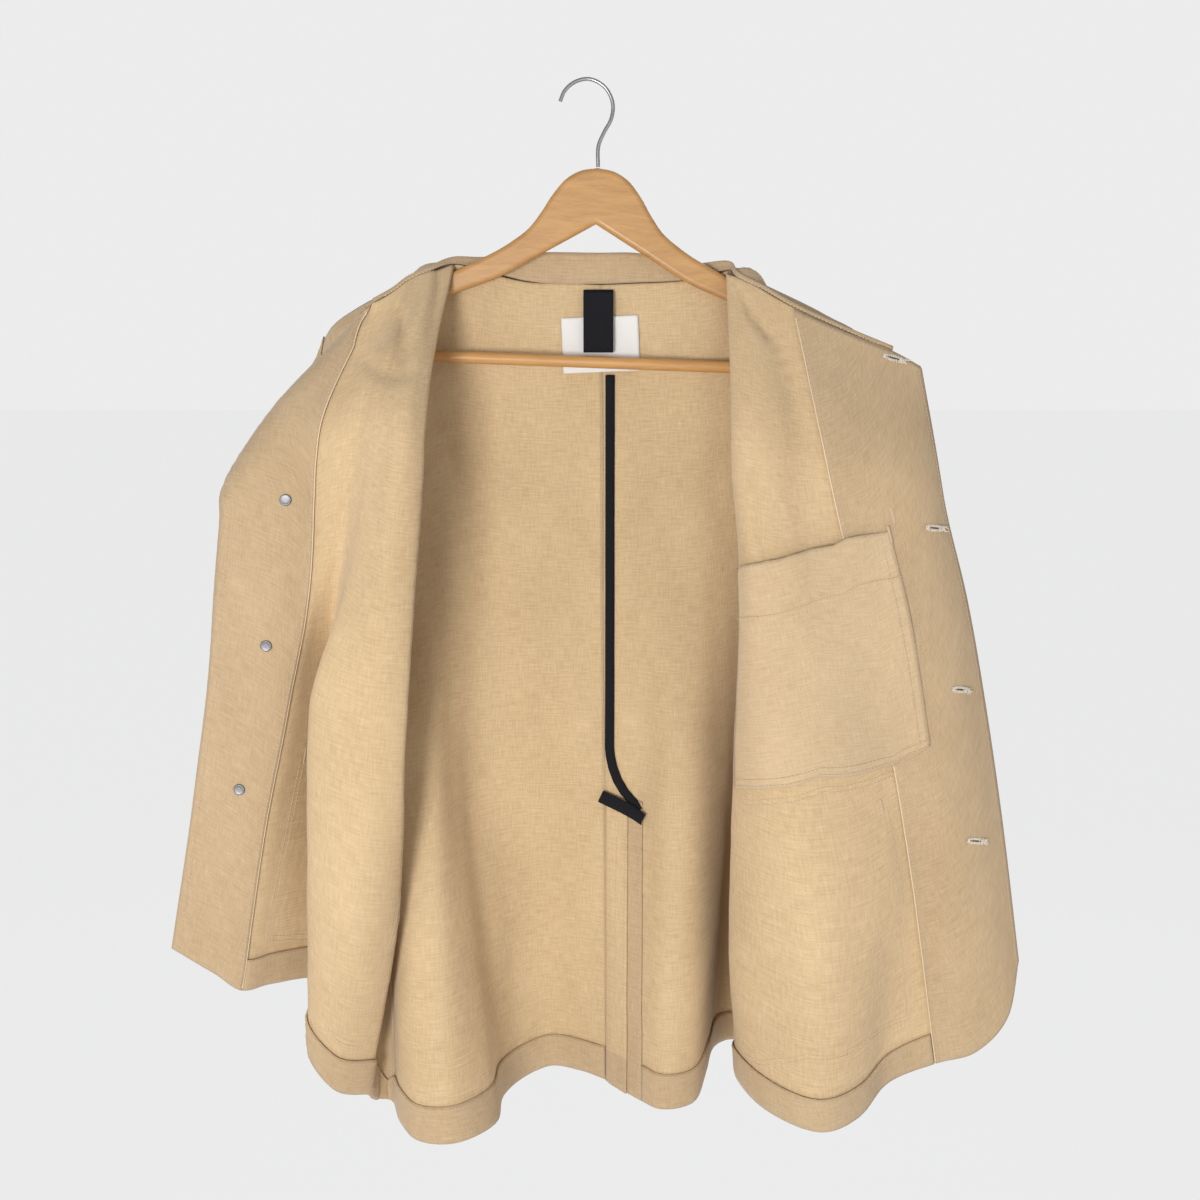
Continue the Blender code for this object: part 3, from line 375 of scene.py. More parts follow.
def grid_faces(columns, rows, closed=False):
    index = np.arange(columns * rows).reshape(columns, rows)
    if closed:
        index = np.vstack([index, index[:1]])
    corners = index[:-1, :-1], index[1:, :-1], index[1:, 1:], index[:-1, 1:]
    return np.stack(corners, axis=-1).reshape(-1, 4).tolist()


def cut_of(across, along):
    """Places on a flat cut piece, from distances across and along it."""
    return np.stack(np.broadcast_arrays(across[:, None], along[None]), axis=-1)


def mesh_of(name, points, faces):
    mesh = bpy.data.meshes.new(name)
    mesh.from_pydata((points * MM).tolist(), [], faces)
    mesh.shade_smooth()
    return mesh


def settle(data, finishes, node=None, stance=None):
    """Put a mesh or a curve into the scene, as a piece that rides with the jacket."""
    for finish in finishes:
        data.materials.append(finish)
    piece = bpy.data.objects.new(data.name, data)
    bpy.context.scene.collection.objects.link(piece)
    if stance:
        piece.matrix_world = stance
    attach(piece, "root")
    if node:
        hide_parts(node)
    return piece


def cloth(node, points, cut, wall, finishes, closed=False):
    """A piece of cloth through a grid of millimetre points, in place of its plain solid."""
    columns, rows = points.shape[:2]
    mesh = mesh_of(node + "_cloth", points.reshape(-1, 3), grid_faces(columns, rows, closed))
    place = mesh.attributes.new("cut", "FLOAT_VECTOR", "POINT")
    flat_places = np.column_stack([cut.reshape(-1, 2) * MM, np.zeros(columns * rows)])
    place.data.foreach_set("vector", flat_places.ravel())
    piece = settle(mesh, finishes, node)
    solid = piece.modifiers.new("wall", "SOLIDIFY")
    solid.thickness, solid.offset = wall * MM, 0.0
    solid.material_offset = solid.material_offset_rim = len(finishes) - 1
    return piece


# The top corner of the wearer's right front flops back behind a slanting roll.
ROLL_START = np.array((-169.5, -194.2))
ROLL_END = np.array((-295.5, -354.2))
ROLL_Y = (-44, -90)
ROLL_RADIUS = 10.0
ROLL_EASE = 18.0         # length over which the roll begins at the neckline
ROLL_FADE = 30.0         # length over which the front settles onto the roll
ROLL_DROOP = 0.02        # how far the corner leans back
ROLL_TUCK = 3.5          # and is drawn in towards the neck


def flop(points):
    """Wind the points beyond the slanting roll round it, to behind the front."""
    length = np.linalg.norm(ROLL_END - ROLL_START)
    axis = (ROLL_END - ROLL_START) / length
    outward = np.array((axis[1], -axis[0]))
    offset = points[..., (0, 2)] - ROLL_START
    beyond, along = offset @ outward, offset @ axis
    surface = ROLL_Y[0] + (ROLL_Y[1] - ROLL_Y[0]) * np.clip(along / length, 0, 1)
    behind = (points[..., 1] - surface) * np.maximum(0, 1 - beyond / ROLL_FADE)
    turn = np.minimum(beyond / ROLL_RADIUS, math.pi)
    rest = beyond - turn * ROLL_RADIUS
    radius = ROLL_RADIUS - behind
    flat = ROLL_START + axis * along[..., None] + outward * (radius * np.sin(turn) - rest)[..., None]
    depth = surface + ROLL_RADIUS - radius * np.cos(turn) + rest * ROLL_DROOP
    tucked = ROLL_TUCK * smooth_step(rest / 30)
    moved = np.stack([flat[..., 0] + tucked, depth, flat[..., 1]], axis=-1)
    begun = smooth_step((along + ROLL_EASE / 2) / ROLL_EASE) * (beyond > 0)
    return points + (moved - points) * begun[..., None]


# Creases pressed in by wear: start and end (x, z), sideways bow, width, depth towards the
# inside, and the two fold lines that each stays between.
CREASES_BACK_RIGHT = (
    ((-128, -280), (-74, -510), 10, 13, -5.5, "centre", "shoulder_mid"),
    ((-122, -370), (-108, -600), 4, 15, 3.5, "centre", "shoulder_mid"),
    ((-104, -230), (-88, -300), 4, 12, -2.0, "centre", "flute_out"),
    ((-16, -300), (-40, -640), -6, 22, -1.8, "centre", "flute"),
    ((-112, -520), (-88, -760), 6, 16, -2.4, "hollow", "shoulder_mid"),
    ((-92, -640), (-78, -830), 4, 10, 2.4, "hollow", "shoulder_mid"),
)
CREASES_BACK_LEFT = (
    ((62, -250), (92, -520), -8, 16, -2.2, "centre", "neck"),
    ((100, -480), (84, -800), 8, 15, -2.0, "centre", "neck"),
    ((30, -300), (36, -560), 3, 12, 1.6, "centre", "hollow_in"),
)
CREASES_FRONT_RIGHT = (
    ((-127, -160), (-158, -222), 5, 6, 3.2, "pocket", "ridge"),
    ((-152, -186), (-148, -236), 4, 6, -4.4, "pocket", "ridge"),
    ((-178, -222), (-134, -234), -8, 5, -3.4, "facing", "ridge"),
    ((-182, -250), (-196, -420), 5, 12, -2.2, "facing", "bulge"),
    ((-146, -250), (-158, -470), 10, 15, 2.2, "valley", "ridge"),
    ((-196, -430), (-166, -660), -10, 20, -2.0, "valley", "bulge"),
    ((-160, -560), (-196, -780), 6, 16, 2.2, "inlet", "ridge"),
    ((-286, -330), (-300, -520), 4, 14, -1.6, "edge", "facing"),
    ((-300, -560), (-318, -690), -4, 12, -1.6, "edge", "facing"),
)
CREASES_FRONT_LEFT = (
    ((126, -172), (146, -206), -3, 5, -3.6, "facing", "ridge"),
    ((142, -182), (170, -322), 6, 9, -3.4, "facing", "ridge"),
    ((120, -250), (136, -420), -6, 11, 2.0, "pocket", "ridge"),
    ((196, -240), (232, -420), 5, 15, -1.6, "edge", "facing"),
    ((252, -440), (300, -690), -8, 18, -1.6, "edge", "facing"),
    ((126, -300), (136, -370), 3, 8, -3.0, "pocket", "ridge"),
    ((150, -600), (146, -820), 8, 14, -2.4, "pocket", "ridge"),
    ((198, -620), (216, -800), -6, 18, 2.0, "facing", "bulge"),
)
inside_of_drill = drill("drill_inside", (0.66, 0.485, 0.285), (0.48, 0.335, 0.18))
face_of_drill = drill("drill_face", (0.56, 0.41, 0.25), (0.41, 0.285, 0.16))
PANELS = (("front_right", FRONT_RIGHT, 1, -1, CREASES_FRONT_RIGHT, 2.0, flop, (0.31, 0.69)),
          ("back_right", BACK_RIGHT, -1, 1, CREASES_BACK_RIGHT, 4.0, None, (0.275, 0.70)),
          ("back_left", BACK_LEFT, 1, 1, CREASES_BACK_LEFT, 6.0, None, (0.27, 0.70)),
          ("front_left", FRONT_LEFT, -1, -1, CREASES_FRONT_LEFT, 8.0, None, (0.31, 0.69)))
panels = {}
for panel_name, folds, inward, side, creases, ripple, bend, flat in PANELS:
    panel = panels[panel_name] = Panel(folds, inward, side, creases, ripple, bend)
    laid_out = panel.cut_at(panel.columns[:, None], ROWS[None])
    cloth(panel_name, panel.grid[::inward], laid_out[::inward], CLOTH, (inside_of_drill, face_of_drill))


# ---------------- facings, turn-ups and vent
# Strips of the same drill with their face side out: the facings follow the front edges, the
# turn-ups the hem, and the vent has a facing on one half and an underlap on the other.
def threads(name, centres, alongs, ups, lengths, thick, finish):
    """Short lengths of sewing thread, each arched up from the cloth, as one piece."""
    alongs = unit(alongs)
    sides = np.cross(ups, alongs)
    corners = []
    for t, r, h in ((-0.5, 0.5, -0.3), (-0.28, 1.0, 0.3), (0.28, 1.0, 0.3), (0.5, 0.5, -0.3)):
        for side, up in ((1, 0), (0, 1), (-1, 0), (0, -1)):
            corners.append(centres + alongs * (t * lengths)[:, None] + sides * (side * r * thick)
                           + ups * ((up * r + h) * thick))
    corners = np.stack(corners, axis=1).reshape(-1, 3)
    ring = [(i + j, i + (j + 1) % 4, i + 4 + (j + 1) % 4, i + 4 + j) for i in (0, 4, 8) for j in range(4)]
    ring += [(3, 2, 1, 0), (12, 13, 14, 15)]
    faces = (np.array(ring)[None] + 16 * np.arange(len(centres))[:, None, None]).reshape(-1, 4)
    settle(mesh_of(name, corners, faces.tolist()), (finish,))


def column_wise(places, knots, values):
    return np.column_stack([np.interp(places, knots, values[:, axis]) for axis in range(values.shape[1])])


def sew(name, rows, finish, pitch=3.2, length=2.5, thick=0.36):
    """Rows of lockstitch; each row is its points and the cloth's normals there."""
    centres, alongs, ups = [], [], []
    for points, normals in rows:
        reach = reach_of(points)
        places = np.arange(pitch / 2, reach[-1], pitch)
        here, ahead = (column_wise(places + step, reach, points) for step in (-length / 2, length / 2))
        up = column_wise(places, reach, normals)
        centres.append((here + ahead) / 2)
        alongs.append(ahead - here)
        ups.append(unit(up))
    centres = np.vstack(centres)
    threads(name, centres, np.vstack(alongs), np.vstack(ups), np.full(len(centres), length), thick, finish)


def row_on(panel, route, lift, aside=0.0):
    """A row of sewing over a panel; lift says which face and how high, aside shifts the row."""
    spots = resampled(panel, route, 260)
    lift = lift(spots[:, 0]) if callable(lift) else lift
    points = panel.at(spots[:, 0], spots[:, 1], lift)
    normals = (panel.at(spots[:, 0], spots[:, 1], lift + 1) - points) * np.sign(np.mean(lift))
    return points + np.cross(normals, unit(np.gradient(points, axis=0))) * aside, normals


LINING = 1.2             # wall of facings, turn-ups and pockets
TOUCH = 1.9              # middle of a piece that lies on a panel, from the panel's middle
FACING_LIFT = 2.5
EDGE_LIFT = 1.45         # and where a rolled edge comes down to the panel
EXTENSION_LIFT = 3.6
HEM_DEPTH = 30.0


def resampled(panel, route, count):
    """Places (column, height) evenly along a route over the panel."""
    route = column_wise(np.linspace(0, len(route) - 1, 240), range(len(route)), np.array(route))
    lengths = reach_of(panel.at(route[:, 0], route[:, 1]))
    return column_wise(np.linspace(0, lengths[-1], count), lengths, route)


def patch(panel, bottom, top, lift, across=40, up=40):
    """Grids of points and cut places for a piece over a panel, between two routes across it.

    lift is a function of the distances to the four edges: (near, far, bottom, top).
    """
    low, high = resampled(panel, bottom, across)[:, None], resampled(panel, top, across)[:, None]
    spots = low + (high - low) * np.linspace(0, 1, up)[None, :, None]
    flat = panel.at(spots[..., 0], spots[..., 1])
    steps = [np.linalg.norm(np.diff(flat, axis=axis), axis=2) for axis in (0, 1)]
    u = np.concatenate([np.zeros((1, up)), np.cumsum(steps[0], axis=0)])
    v = np.concatenate([np.zeros((across, 1)), np.cumsum(steps[1], axis=1)], axis=1)
    lifts = lift(u, u[-1:] - u, v, v[:, -1:] - v)
    points = panel.at(spots[..., 0], spots[..., 1], lifts)
    cut = np.stack([u, v], axis=-1)
    if (panel.inward > 0) != (np.mean(lifts) > 0):
        points, cut = points[::-1], cut[::-1]
    return points, cut


def rolled_edge(full, *edges):
    """A lift that comes down to the panel at the named edges (0 near, 1 far, 2 bottom, 3 top)."""
    def lift(*distances):
        nearest = np.minimum.reduce([distances[edge] for edge in edges])
        return EDGE_LIFT + (full - EDGE_LIFT) * smooth_step(nearest / 7)
    return lift


def level_route(first, last, height):
    return [(column, height) for column in np.linspace(first, last, 60)]


def trim(node, panel, first, last, top, lift, across, up):
    """A strip of drill, face side out, up from the hem between two columns of a panel."""
    points, cut = patch(panel, level_route(first, last, 0), level_route(first, last, top), lift, across, up)
    cloth(node, points, cut, LINING, (face_of_drill,))


for side, facing_cut, hem_front, hem_back in (("right", (0.085, 0.60), (0.24, 0.03), (0.30, 0.03)),
                                              ("left", (0.088, 0.66), (0.285, 0.03), (0.205, 0.03))):
    front, back = panels["front_" + side], panels["back_" + side]
    seam, last = front.column_of("facing"), front.columns[-1]
    trim("facing_" + side, front, 0, seam, 0.996, rolled_edge(FACING_LIFT, 0, 2), 26, 160)
    trim("hem_front_" + side, front, seam + 0.03, last, HEM_DEPTH / front.tall, rolled_edge(FACING_LIFT, 2),
         90, 9)
    trim("hem_back_" + side, back, 0.02 if side == "right" else 1.12, back.columns[-1], HEM_DEPTH / back.tall,
         rolled_edge(TOUCH, 2), 90, 9)
left_back = panels["back_left"]
trim("vent_facing", left_back, 0.30, 1.1, 0.368, rolled_edge(TOUCH, 2), 14, 60)
points, cut = patch(left_back, level_route(0.03, 0.66, 0), level_route(0.03, 0.66, 0.363),
                    lambda near, *others: TOUCH + (EXTENSION_LIFT - TOUCH) * smooth_step(near / 9), 10, 60)
extension = cloth("vent_extension", points, cut, CLOTH, (inside_of_drill,))
extension.data.materials.append(face_of_drill)
for face in extension.data.polygons:
    if face.center.z < points[:, 0, 2].mean() * MM + HEM_DEPTH * MM:
        face.material_index = 1


def line_curve(name, places, radius, roundness):
    """A round bead or wire through places in metres."""
    curve = bpy.data.curves.new(name, "CURVE")
    curve.dimensions = "3D"
    curve.bevel_depth, curve.bevel_resolution = radius * MM, roundness
    spline = curve.splines.new("POLY")
    spline.points.add(len(places) - 1)
    for target, place in zip(spline.points, places):
        target.co = (*place, 1)
    return curve


# The stitches' deep colour, darker than the cloth, is partly the thread's own tone and partly painted shade
# where the stitches sink into the cloth.
thread, _, _ = flecked("sewing_thread_and_painted_shade", {"Roughness": 0.7, "Sheen Weight": 0.2}, (2500, 2500, 2500), 2.0,
                       (0.40, 0.28, 0.16), (0.68, 0.54, 0.37))
piping, fleck, link = flecked("edge_piping", {"Roughness": 0.85, "Sheen Weight": 0.2}, (1600, 1600, 500), 3,
                              (0.56, 0.42, 0.26), (0.76, 0.62, 0.43))
link("Normal", fleck.bump(fleck, 0.5, 0.0004))
OVER_FACING = FACING_LIFT + LINING / 2
OVER_HEM = TOUCH + LINING / 2
OVER_EXTENSION = EXTENSION_LIFT + CLOTH / 2
SKIN = CLOTH / 2         # a panel's inside surface, from its middle; the outside is at -SKIN
rows_inside, rows_outside = [], []
for side in ("right", "left"):
    front, back = panels["front_" + side], panels["back_" + side]
    seam = front.column_of("facing")
    bead, _ = row_on(front, [(seam, 0.004), (seam, 0.985)], FACING_LIFT + 0.1)
    settle(line_curve("piping_" + side, bead * MM, 0.6, 3), (piping,))
    hem_top = HEM_DEPTH - 2.2
    rows_inside += [
        row_on(front, [(seam - 0.09, 0.004), (seam - 0.09, 0.985)], OVER_FACING),
        row_on(front, [(0.17, 0.006), (0.17, 0.985)], OVER_FACING),
        row_on(front, level_route(seam + 0.05, front.columns[-1] - 0.05, hem_top / front.tall), OVER_FACING),
        row_on(back, level_route(0.1 if side == "right" else 1.2, back.columns[-1] - 0.05,
                                 hem_top / back.tall), OVER_HEM),
    ]
    for panel in (front, back):
        last = panel.columns[-1]
        rows_inside += [row_on(panel, [(last - 0.12, 0.05), (last - 0.12, 0.97)], SKIN)]
        rows_outside += [row_on(panel, [(last - share, 0.005), (last - share, 0.97)], -SKIN)
                         for share in (0.12, 0.4)]
        rows_outside += [row_on(panel, level_route(0.05, last - 0.05, hem_top / panel.tall), -SKIN)]
    rows_outside += [row_on(front, [(0.17, 0.006), (0.17, 0.97)], -SKIN),
                     row_on(back, [(0.12, 0.34), (0.12, 0.97)], -SKIN)]
rows_inside += [row_on(panels["back_right"], [(0.1, 0.34), (0.1, 0.965)], SKIN),
                row_on(left_back, [(0.34, 0.004), (0.34, 0.322)], OVER_EXTENSION),
                row_on(left_back, [(0.58, 0.004), (0.58, 0.322)], OVER_EXTENSION),
                row_on(left_back, [(1.02, 0.004), (1.02, 0.33)], OVER_HEM)]
sew("sewing_inside", rows_inside, thread)
sew("sewing_outside", rows_outside, thread)


# ---------------- patch pockets
# Squares of drill sewn on round three sides: a deep inner one with a turned top on the
# wearer's left front, and the outer chest and lower pockets on the other face.
# Each row gives a pocket's bottom and top edges as (column, height) places on its panel.
Patch = namedtuple("Patch", "panel bottom top lift cut")
POCKETS = {
    "lower_pocket_right": Patch(
        "front_right",
        ((2.84, 0.076), (3.5, 0.067), (4.9, 0.063), (6.04, 0.048), (6.84, 0.078), (7.53, 0.073), (8.6, 0.05)),
        ((3.2, 0.345), (3.9, 0.34), (4.9, 0.325), (6.0, 0.30), (6.9, 0.285), (8.0, 0.27), (9, 0.265)),
        -TOUCH, (0.15, 0.18)),
    "lower_pocket_left": Patch(
        "front_left",
        ((3.52, 0.085), (4.78, 0.104), (6.22, 0.104), (7.1, 0.063), (7.62, 0.050), (8.7, 0.045)),
        ((3.72, 0.386), (4.8, 0.395), (6.2, 0.375), (7.2, 0.335), (8.9, 0.30)), -TOUCH, (0.15, 0.20)),
    "chest_pocket": Patch(
        "front_left", ((1.95, 0.450), (2.95, 0.423), (4.2, 0.43), (5.33, 0.442), (6.4, 0.425), (7.6, 0.405)),
        ((1.82, 0.762), (3.3, 0.725), (5.0, 0.717), (7.15, 0.695), (7.6, 0.68)), -TOUCH, (0.165, 0.19)),
    "inner_pocket": Patch(
        "front_left",
        ((2.08, 0.457), (2.99, 0.430), (4.2, 0.439), (5.33, 0.449), (6.4, 0.434), (7.27, 0.418), (7.6, 0.41)),
        ((2.01, 0.742), (3.35, 0.708), (5.0, 0.701), (6.2, 0.690), (7.15, 0.678), (7.6, 0.67)),
        4.0, (0.165, 0.19)),
}
pocket_drill = drill("pocket_drill", (0.62, 0.465, 0.29), (0.48, 0.345, 0.20))


def pouch(full, gape):
    """A pocket's lift: tight at its three sewn sides, a little full in the middle and at the mouth."""
    out = math.copysign(1, full)

    def lift(near, far, bottom, top):
        sewn = np.minimum(np.minimum(near, far), bottom)
        mouth = smooth_step(sewn / 40) * smooth_step(1 - top / 45)
        return full + out * (1.2 * smooth_step(sewn / 45) + gape * mouth)
    return lift


for pocket_name, pocket in POCKETS.items():
    points, cut = patch(panels[pocket.panel], pocket.bottom, pocket.top,
                        pouch(pocket.lift, 3.0 if pocket_name == "inner_pocket" else 1.0), 48, 56)
    cloth(pocket_name, points, cut, LINING, (pocket_drill,))


# The rows that hold them go right through the cloth, with short bars of thread at the mouths.
def inner_face(panel):
    seam = panel.column_of("facing")
    return lambda columns: np.where(columns < seam, OVER_FACING, SKIN)


CHEST_SIDE = ((1.85, 0.765), (1.92, 0.70), (2.0, 0.622), (2.09, 0.54), (2.09, 0.459))
CHEST_BOTTOM = ((2.0, 0.452), (2.6, 0.436), (2.99, 0.42), (4.0, 0.425), (5.33, 0.436), (6.4, 0.42),
                (7.4, 0.40))
LOWER_LEFT = ((3.72, 0.384), (3.78, 0.305), (3.65, 0.202), (3.52, 0.085), (4.78, 0.104), (6.22, 0.104),
              (7.1, 0.063), (7.62, 0.050), (8.6, 0.045))
LOWER_RIGHT = ((3.18, 0.342), (3.06, 0.235), (2.96, 0.16), (2.84, 0.077), (3.5, 0.068), (4.9, 0.06),
               (6.04, 0.048), (6.84, 0.078), (7.53, 0.073), (7.55, 0.131), (7.67, 0.198), (7.97, 0.268))
rows = []
for panel_name, route in (("front_left", CHEST_SIDE), ("front_left", CHEST_BOTTOM),
                          ("front_left", LOWER_LEFT), ("front_right", LOWER_RIGHT)):
    panel = panels[panel_name]
    for aside in (0.0, 4.2):
        inner = aside if panel.inward < 0 else -aside
        rows += [row_on(panel, route, inner_face(panel), inner), row_on(panel, route, -2.6, inner)]
inner = POCKETS["inner_pocket"]
front = panels["front_left"]
over_pocket = inner.lift + LINING / 2 + 0.1
(near_low, low), (near_high, high) = inner.bottom[0], inner.top[0]
mouth_hem = [(column, height - 0.058) for column, height in inner.top]
for share in (0.06, 0.22):
    side = [(near_low + share, low), (near_high + share, high - 0.006)]
    foot = [(column, height + share * 0.05) for column, height in inner.bottom]
    rows += [row_on(front, side, over_pocket + share), row_on(front, foot, over_pocket + share)]
rows.append(row_on(front, mouth_hem, over_pocket + 1.25))
sew("pocket_sewing", rows, thread)
BARTACK_LENGTH = 12
BARTACKS = (("front_left", 1.85, 0.765, OVER_FACING), ("front_left", 3.72, 0.386, SKIN),
            ("front_right", 3.18, 0.345, SKIN), ("front_left", 2.03, 0.738, over_pocket))
centres, alongs, ups = [], [], []
for panel_name, column, height, lift in BARTACKS:
    panel = panels[panel_name]
    middle = panel.at(column, height, lift)
    up = panel.at(column, height, lift + 1) - middle
    down = panel.at(column, height - 0.01, lift) - middle
    down = unit(down)
    for step in np.linspace(-BARTACK_LENGTH / 2, BARTACK_LENGTH / 2, 24):
        centres.append(middle + down * step)
        alongs.append(np.cross(up, down) + down * 0.25)
        ups.append(up)
threads("bartacks", np.array(centres), np.array(alongs), np.array(ups), np.full(len(centres), 2.4), 0.4,
        thread)


# ---------------- collar
# Two layers of drill turned at the edge, sewn to the neckline: a stand at the back of the neck
# that rolls over into the fall behind.
# Each row is a place on the neck seam, by its panel and fold line, the stand's height and the
# fall's arch there, and where the fall's edge lies.
COLLAR = (
    ("front_left", "buttonholes", 4.5, 0, (256, -53, -274)),
    ("front_left", "stitching", 4.5, 0, (206, -41, -256)),
    ("front_left", "facing", 4.5, 0, (176, -26, -202)),
    ("front_left", "step", 4.5, 0, (153, -15, -180)),
    ("front_left", "ridge_out", 5.5, 5, (138, -2, -154.5)),
    ("front_left", "neck", 8, 6, (134, 25, -176)),
    ("back_left", "flute_out", 14, 4, (98, 37, -206)),
    ("back_left", "flute_in", 26, 2, (40, 39, -212)),
    ("back_right", "centre", 27, 2, (10, 39, -214)),
    ("back_right", "hollow", 25, 2, (-54, 39, -211)),
    ("back_right", "flute_in", 11, 6, (-100, 37, -198)),
    ("front_right", "neck", 7, 6, (-128, 25, -171)),
    ("front_right", "bulge", 5, 4, (-143, -2, -154)),
    ("front_right", "valley", 4.5, 0, (-156, -18, -180)),
    ("front_right", "pocket", 4.5, 0, (-166, -24, -188)),
    ("front_right", "facing", 4.5, 0, (-178, -36, -198)),
)
COLLAR_CLOTH = 2.0
COLLAR_ROLL = 2.6


def collar_line(seam, height, arch, edge):
    """The collar's section at one place on the neck seam: stand, fold, fall."""
    start = seam + (0, 0, 1.0)
    radius = min(COLLAR_ROLL, height * 0.35)
    bend = start + (0, 0, max(height - 2.2 - radius, 0.3))
    line = [start + (bend - start) * t for t in np.linspace(0, 1, 7)[:-1]]
    for turn in np.radians(np.linspace(0, 180, 9)):
        line.append(bend + (0, radius * (1 - math.cos(turn)), radius * math.sin(turn)))
    last = line[-1]
    for share in np.linspace(0, 1, 14)[1:]:
        line.append(last + (edge - last) * share + (0, 0, arch * math.sin(math.pi * share)))
    return line


def neck_seam(panel, fold):
    return panel.neckline[list(panel.columns).index(panel.column_of(fold))]


seams = np.array([neck_seam(panels[row[0]], row[1]) for row in COLLAR])
knots = reach_of(seams)
places = np.linspace(0, knots[-1], 130)
tables = seams, np.array([row[2:4] for row in COLLAR], float), np.array([row[4] for row in COLLAR], float)
seams, shapes, edges = (curve_at(knots, table, places) for table in tables)
collar_grid = np.array([collar_line(seam, height, arch, edge)
                        for seam, (height, arch), edge in zip(seams, shapes, edges)])
down = np.linspace(0, 85, collar_grid.shape[1])
collar_cut = cut_of(places, down)
cloth("collar", collar_grid, collar_cut, COLLAR_CLOTH, (face_of_drill,))
collar_normals = normals_of(collar_grid)
collar_normals *= -np.sign(collar_normals[65, 2, 1])
rows = []
for along_section, off in ((1, 1.05), (5, 1.05), (-3, 1.05), (-3, -1.05)):
    line, normal = collar_grid[3:-3, along_section], collar_normals[3:-3, along_section]
    rows.append((line + normal * off, normal * np.sign(off)))
sew("collar_sewing", rows, thread)


# ---------------- sleeves
# Tubes of drill set into the armholes with a row of stitching, and turned in and stitched at the
# cuff. They hang straight down behind the turned fronts.
# Each ring down a sleeve is x z at its outer and inner sides, its middle's y and its half depth.
SLEEVE_RIGHT = (
    (-229, -225, -212, -468, 8, 42),
    (-247, -250, -214, -476, 14, 46),
    (-267, -286, -216, -484, 22, 52),
    (-283, -332, -218, -500, 28, 58),
    (-293, -400, -219, -530, 27, 65),
    (-296, -490, -219, -574, 29, 62),
    (-296, -580, -220, -626, 31, 58),
    (-295, -670, -223, -690, 32, 54),
    (-292, -752, -226, -756, 33, 51),
)
SLEEVE_LEFT = (
    (240, -228, 217, -472, 2, 48),
    (257, -252, 219, -480, 6, 54),
    (273, -288, 221, -488, 14, 60),
    (284, -334, 223, -504, 22, 64),
    (293, -402, 224, -534, 27, 65),
    (299, -492, 225, -578, 29, 62),
    (303, -582, 228, -630, 31, 58),
    (304, -672, 232, -694, 32, 54),
    (302, -758, 236, -762, 33, 51),
)
SLEEVE_SIDES = 72


def armhole_ring(front, back, shift):
    """The armhole's edge as an even closed ring, moved out along x by shift."""
    rings = []
    for panel in (front, back):
        begin = np.searchsorted(panel.columns, panel.column_of("shoulder_tip"))
        rings.append(panel.grid[begin:, -1])
    loop = np.vstack([rings[0], rings[1][::-1][1:], rings[0][:1]])
    lengths = reach_of(loop)
    ring = column_wise(lengths[-1] * np.arange(SLEEVE_SIDES) / SLEEVE_SIDES, lengths, loop)
    ring[:, 0] += shift
    return ring


for side, sleeve_rings, outward in (("right", SLEEVE_RIGHT, -1), ("left", SLEEVE_LEFT, 1)):
    name = "sleeve_" + side
    angles = 2 * math.pi * np.arange(SLEEVE_SIDES) / SLEEVE_SIDES
    grid = [armhole_ring(panels["front_" + side], panels["back_" + side], outward * 2.0)]
    for *ends, y, depth in sleeve_rings:
        outer, inner = np.reshape(ends, (2, 2))
        centre, half = (outer + inner) / 2, (outer - inner) / 2
        grid.append(np.column_stack([centre[0] + half[0] * np.cos(angles), y - depth * np.sin(angles),
                                     centre[1] + half[1] * np.cos(angles)]))
    grid = np.array(grid)
    knots = reach_of(grid.mean(axis=1))
    places = np.linspace(0, knots[-1], 110)
    fine = curve_at(knots, grid.reshape(len(grid), -1), places).reshape(len(places), SLEEVE_SIDES, 3)
    around = np.linspace(0, 320, SLEEVE_SIDES)
    centre = fine.mean(axis=1, keepdims=True)
    push = np.array([[noise.noise((math.cos(a) * 1.6, math.sin(a) * 1.6, s / 55 + outward * 7))
                      + 0.6 * noise.noise((math.cos(a) * 3, math.sin(a) * 3, s / 24 + outward * 3))
                      for a in angles] for s in places])
    calm = smooth_step(places / 30) * smooth_step((knots[-1] - places) / 60 + 0.25)
    away = fine - centre
    away[..., 2] = 0
    away /= np.linalg.norm(away, axis=2)[..., None] + 1e-9
    fine = fine + away * (push * calm[:, None] * 3.0)[..., None]
    cut = cut_of(around, places)
    cloth(name, fine.transpose(1, 0, 2)[::outward], cut[::outward], CLOTH,
          (face_of_drill, inside_of_drill), closed=True)
    cuff = len(places) - 1 - int(26 / (knots[-1] / 110))
    rings = []
    for row in (2, cuff):
        ring = np.vstack([fine[row], fine[row, :1]])
        normal = np.vstack([away[row], away[row, :1]])
        rings.append((ring + normal * CLOTH / 2, normal))
    sew(name + "_sewing", rings, thread)


# ---------------- tapes and label
# Black cotton tape binds the centre back seam, a short bar of it closes the top of the vent,
# and a doubled length hangs the jacket over a plain woven label.
TAPE = 0.8


def tree_of(points):
    return BVHTree.FromPolygons(points.reshape(-1, 3).tolist(), grid_faces(*points.shape[:2]))


def first_hit(trees, x, z):
    """Where a line along Y first meets one of the surfaces, and the surface's normal there."""
    found = None
    for tree in trees:
        place, normal, _, _ = tree.ray_cast(Vector((x, -300, z)), Vector((0, 1, 0)))
        if place and (found is None or place.y < found[0].y):
            found = place, -normal if normal.y > 0 else normal
    return found


def strip(trees, path, profile):
    """Grid of a tape along a path of (x, z) points; profile rows are (millimetres across, lift)."""
    path, profile = np.array(path, float), np.array(profile, float)
    run = unit(np.gradient(path, axis=0))
    lines = []
    for offset, lift in profile:
        hits = [first_hit(trees, x, z) for x, z in path + np.column_stack([run[:, 1], -run[:, 0]]) * offset]
        lines.append([hit[0] + hit[1] * lift for hit in hits])
    return np.array(lines)[::-1], cut_of(reach_of(profile), reach_of(path))[::-1]


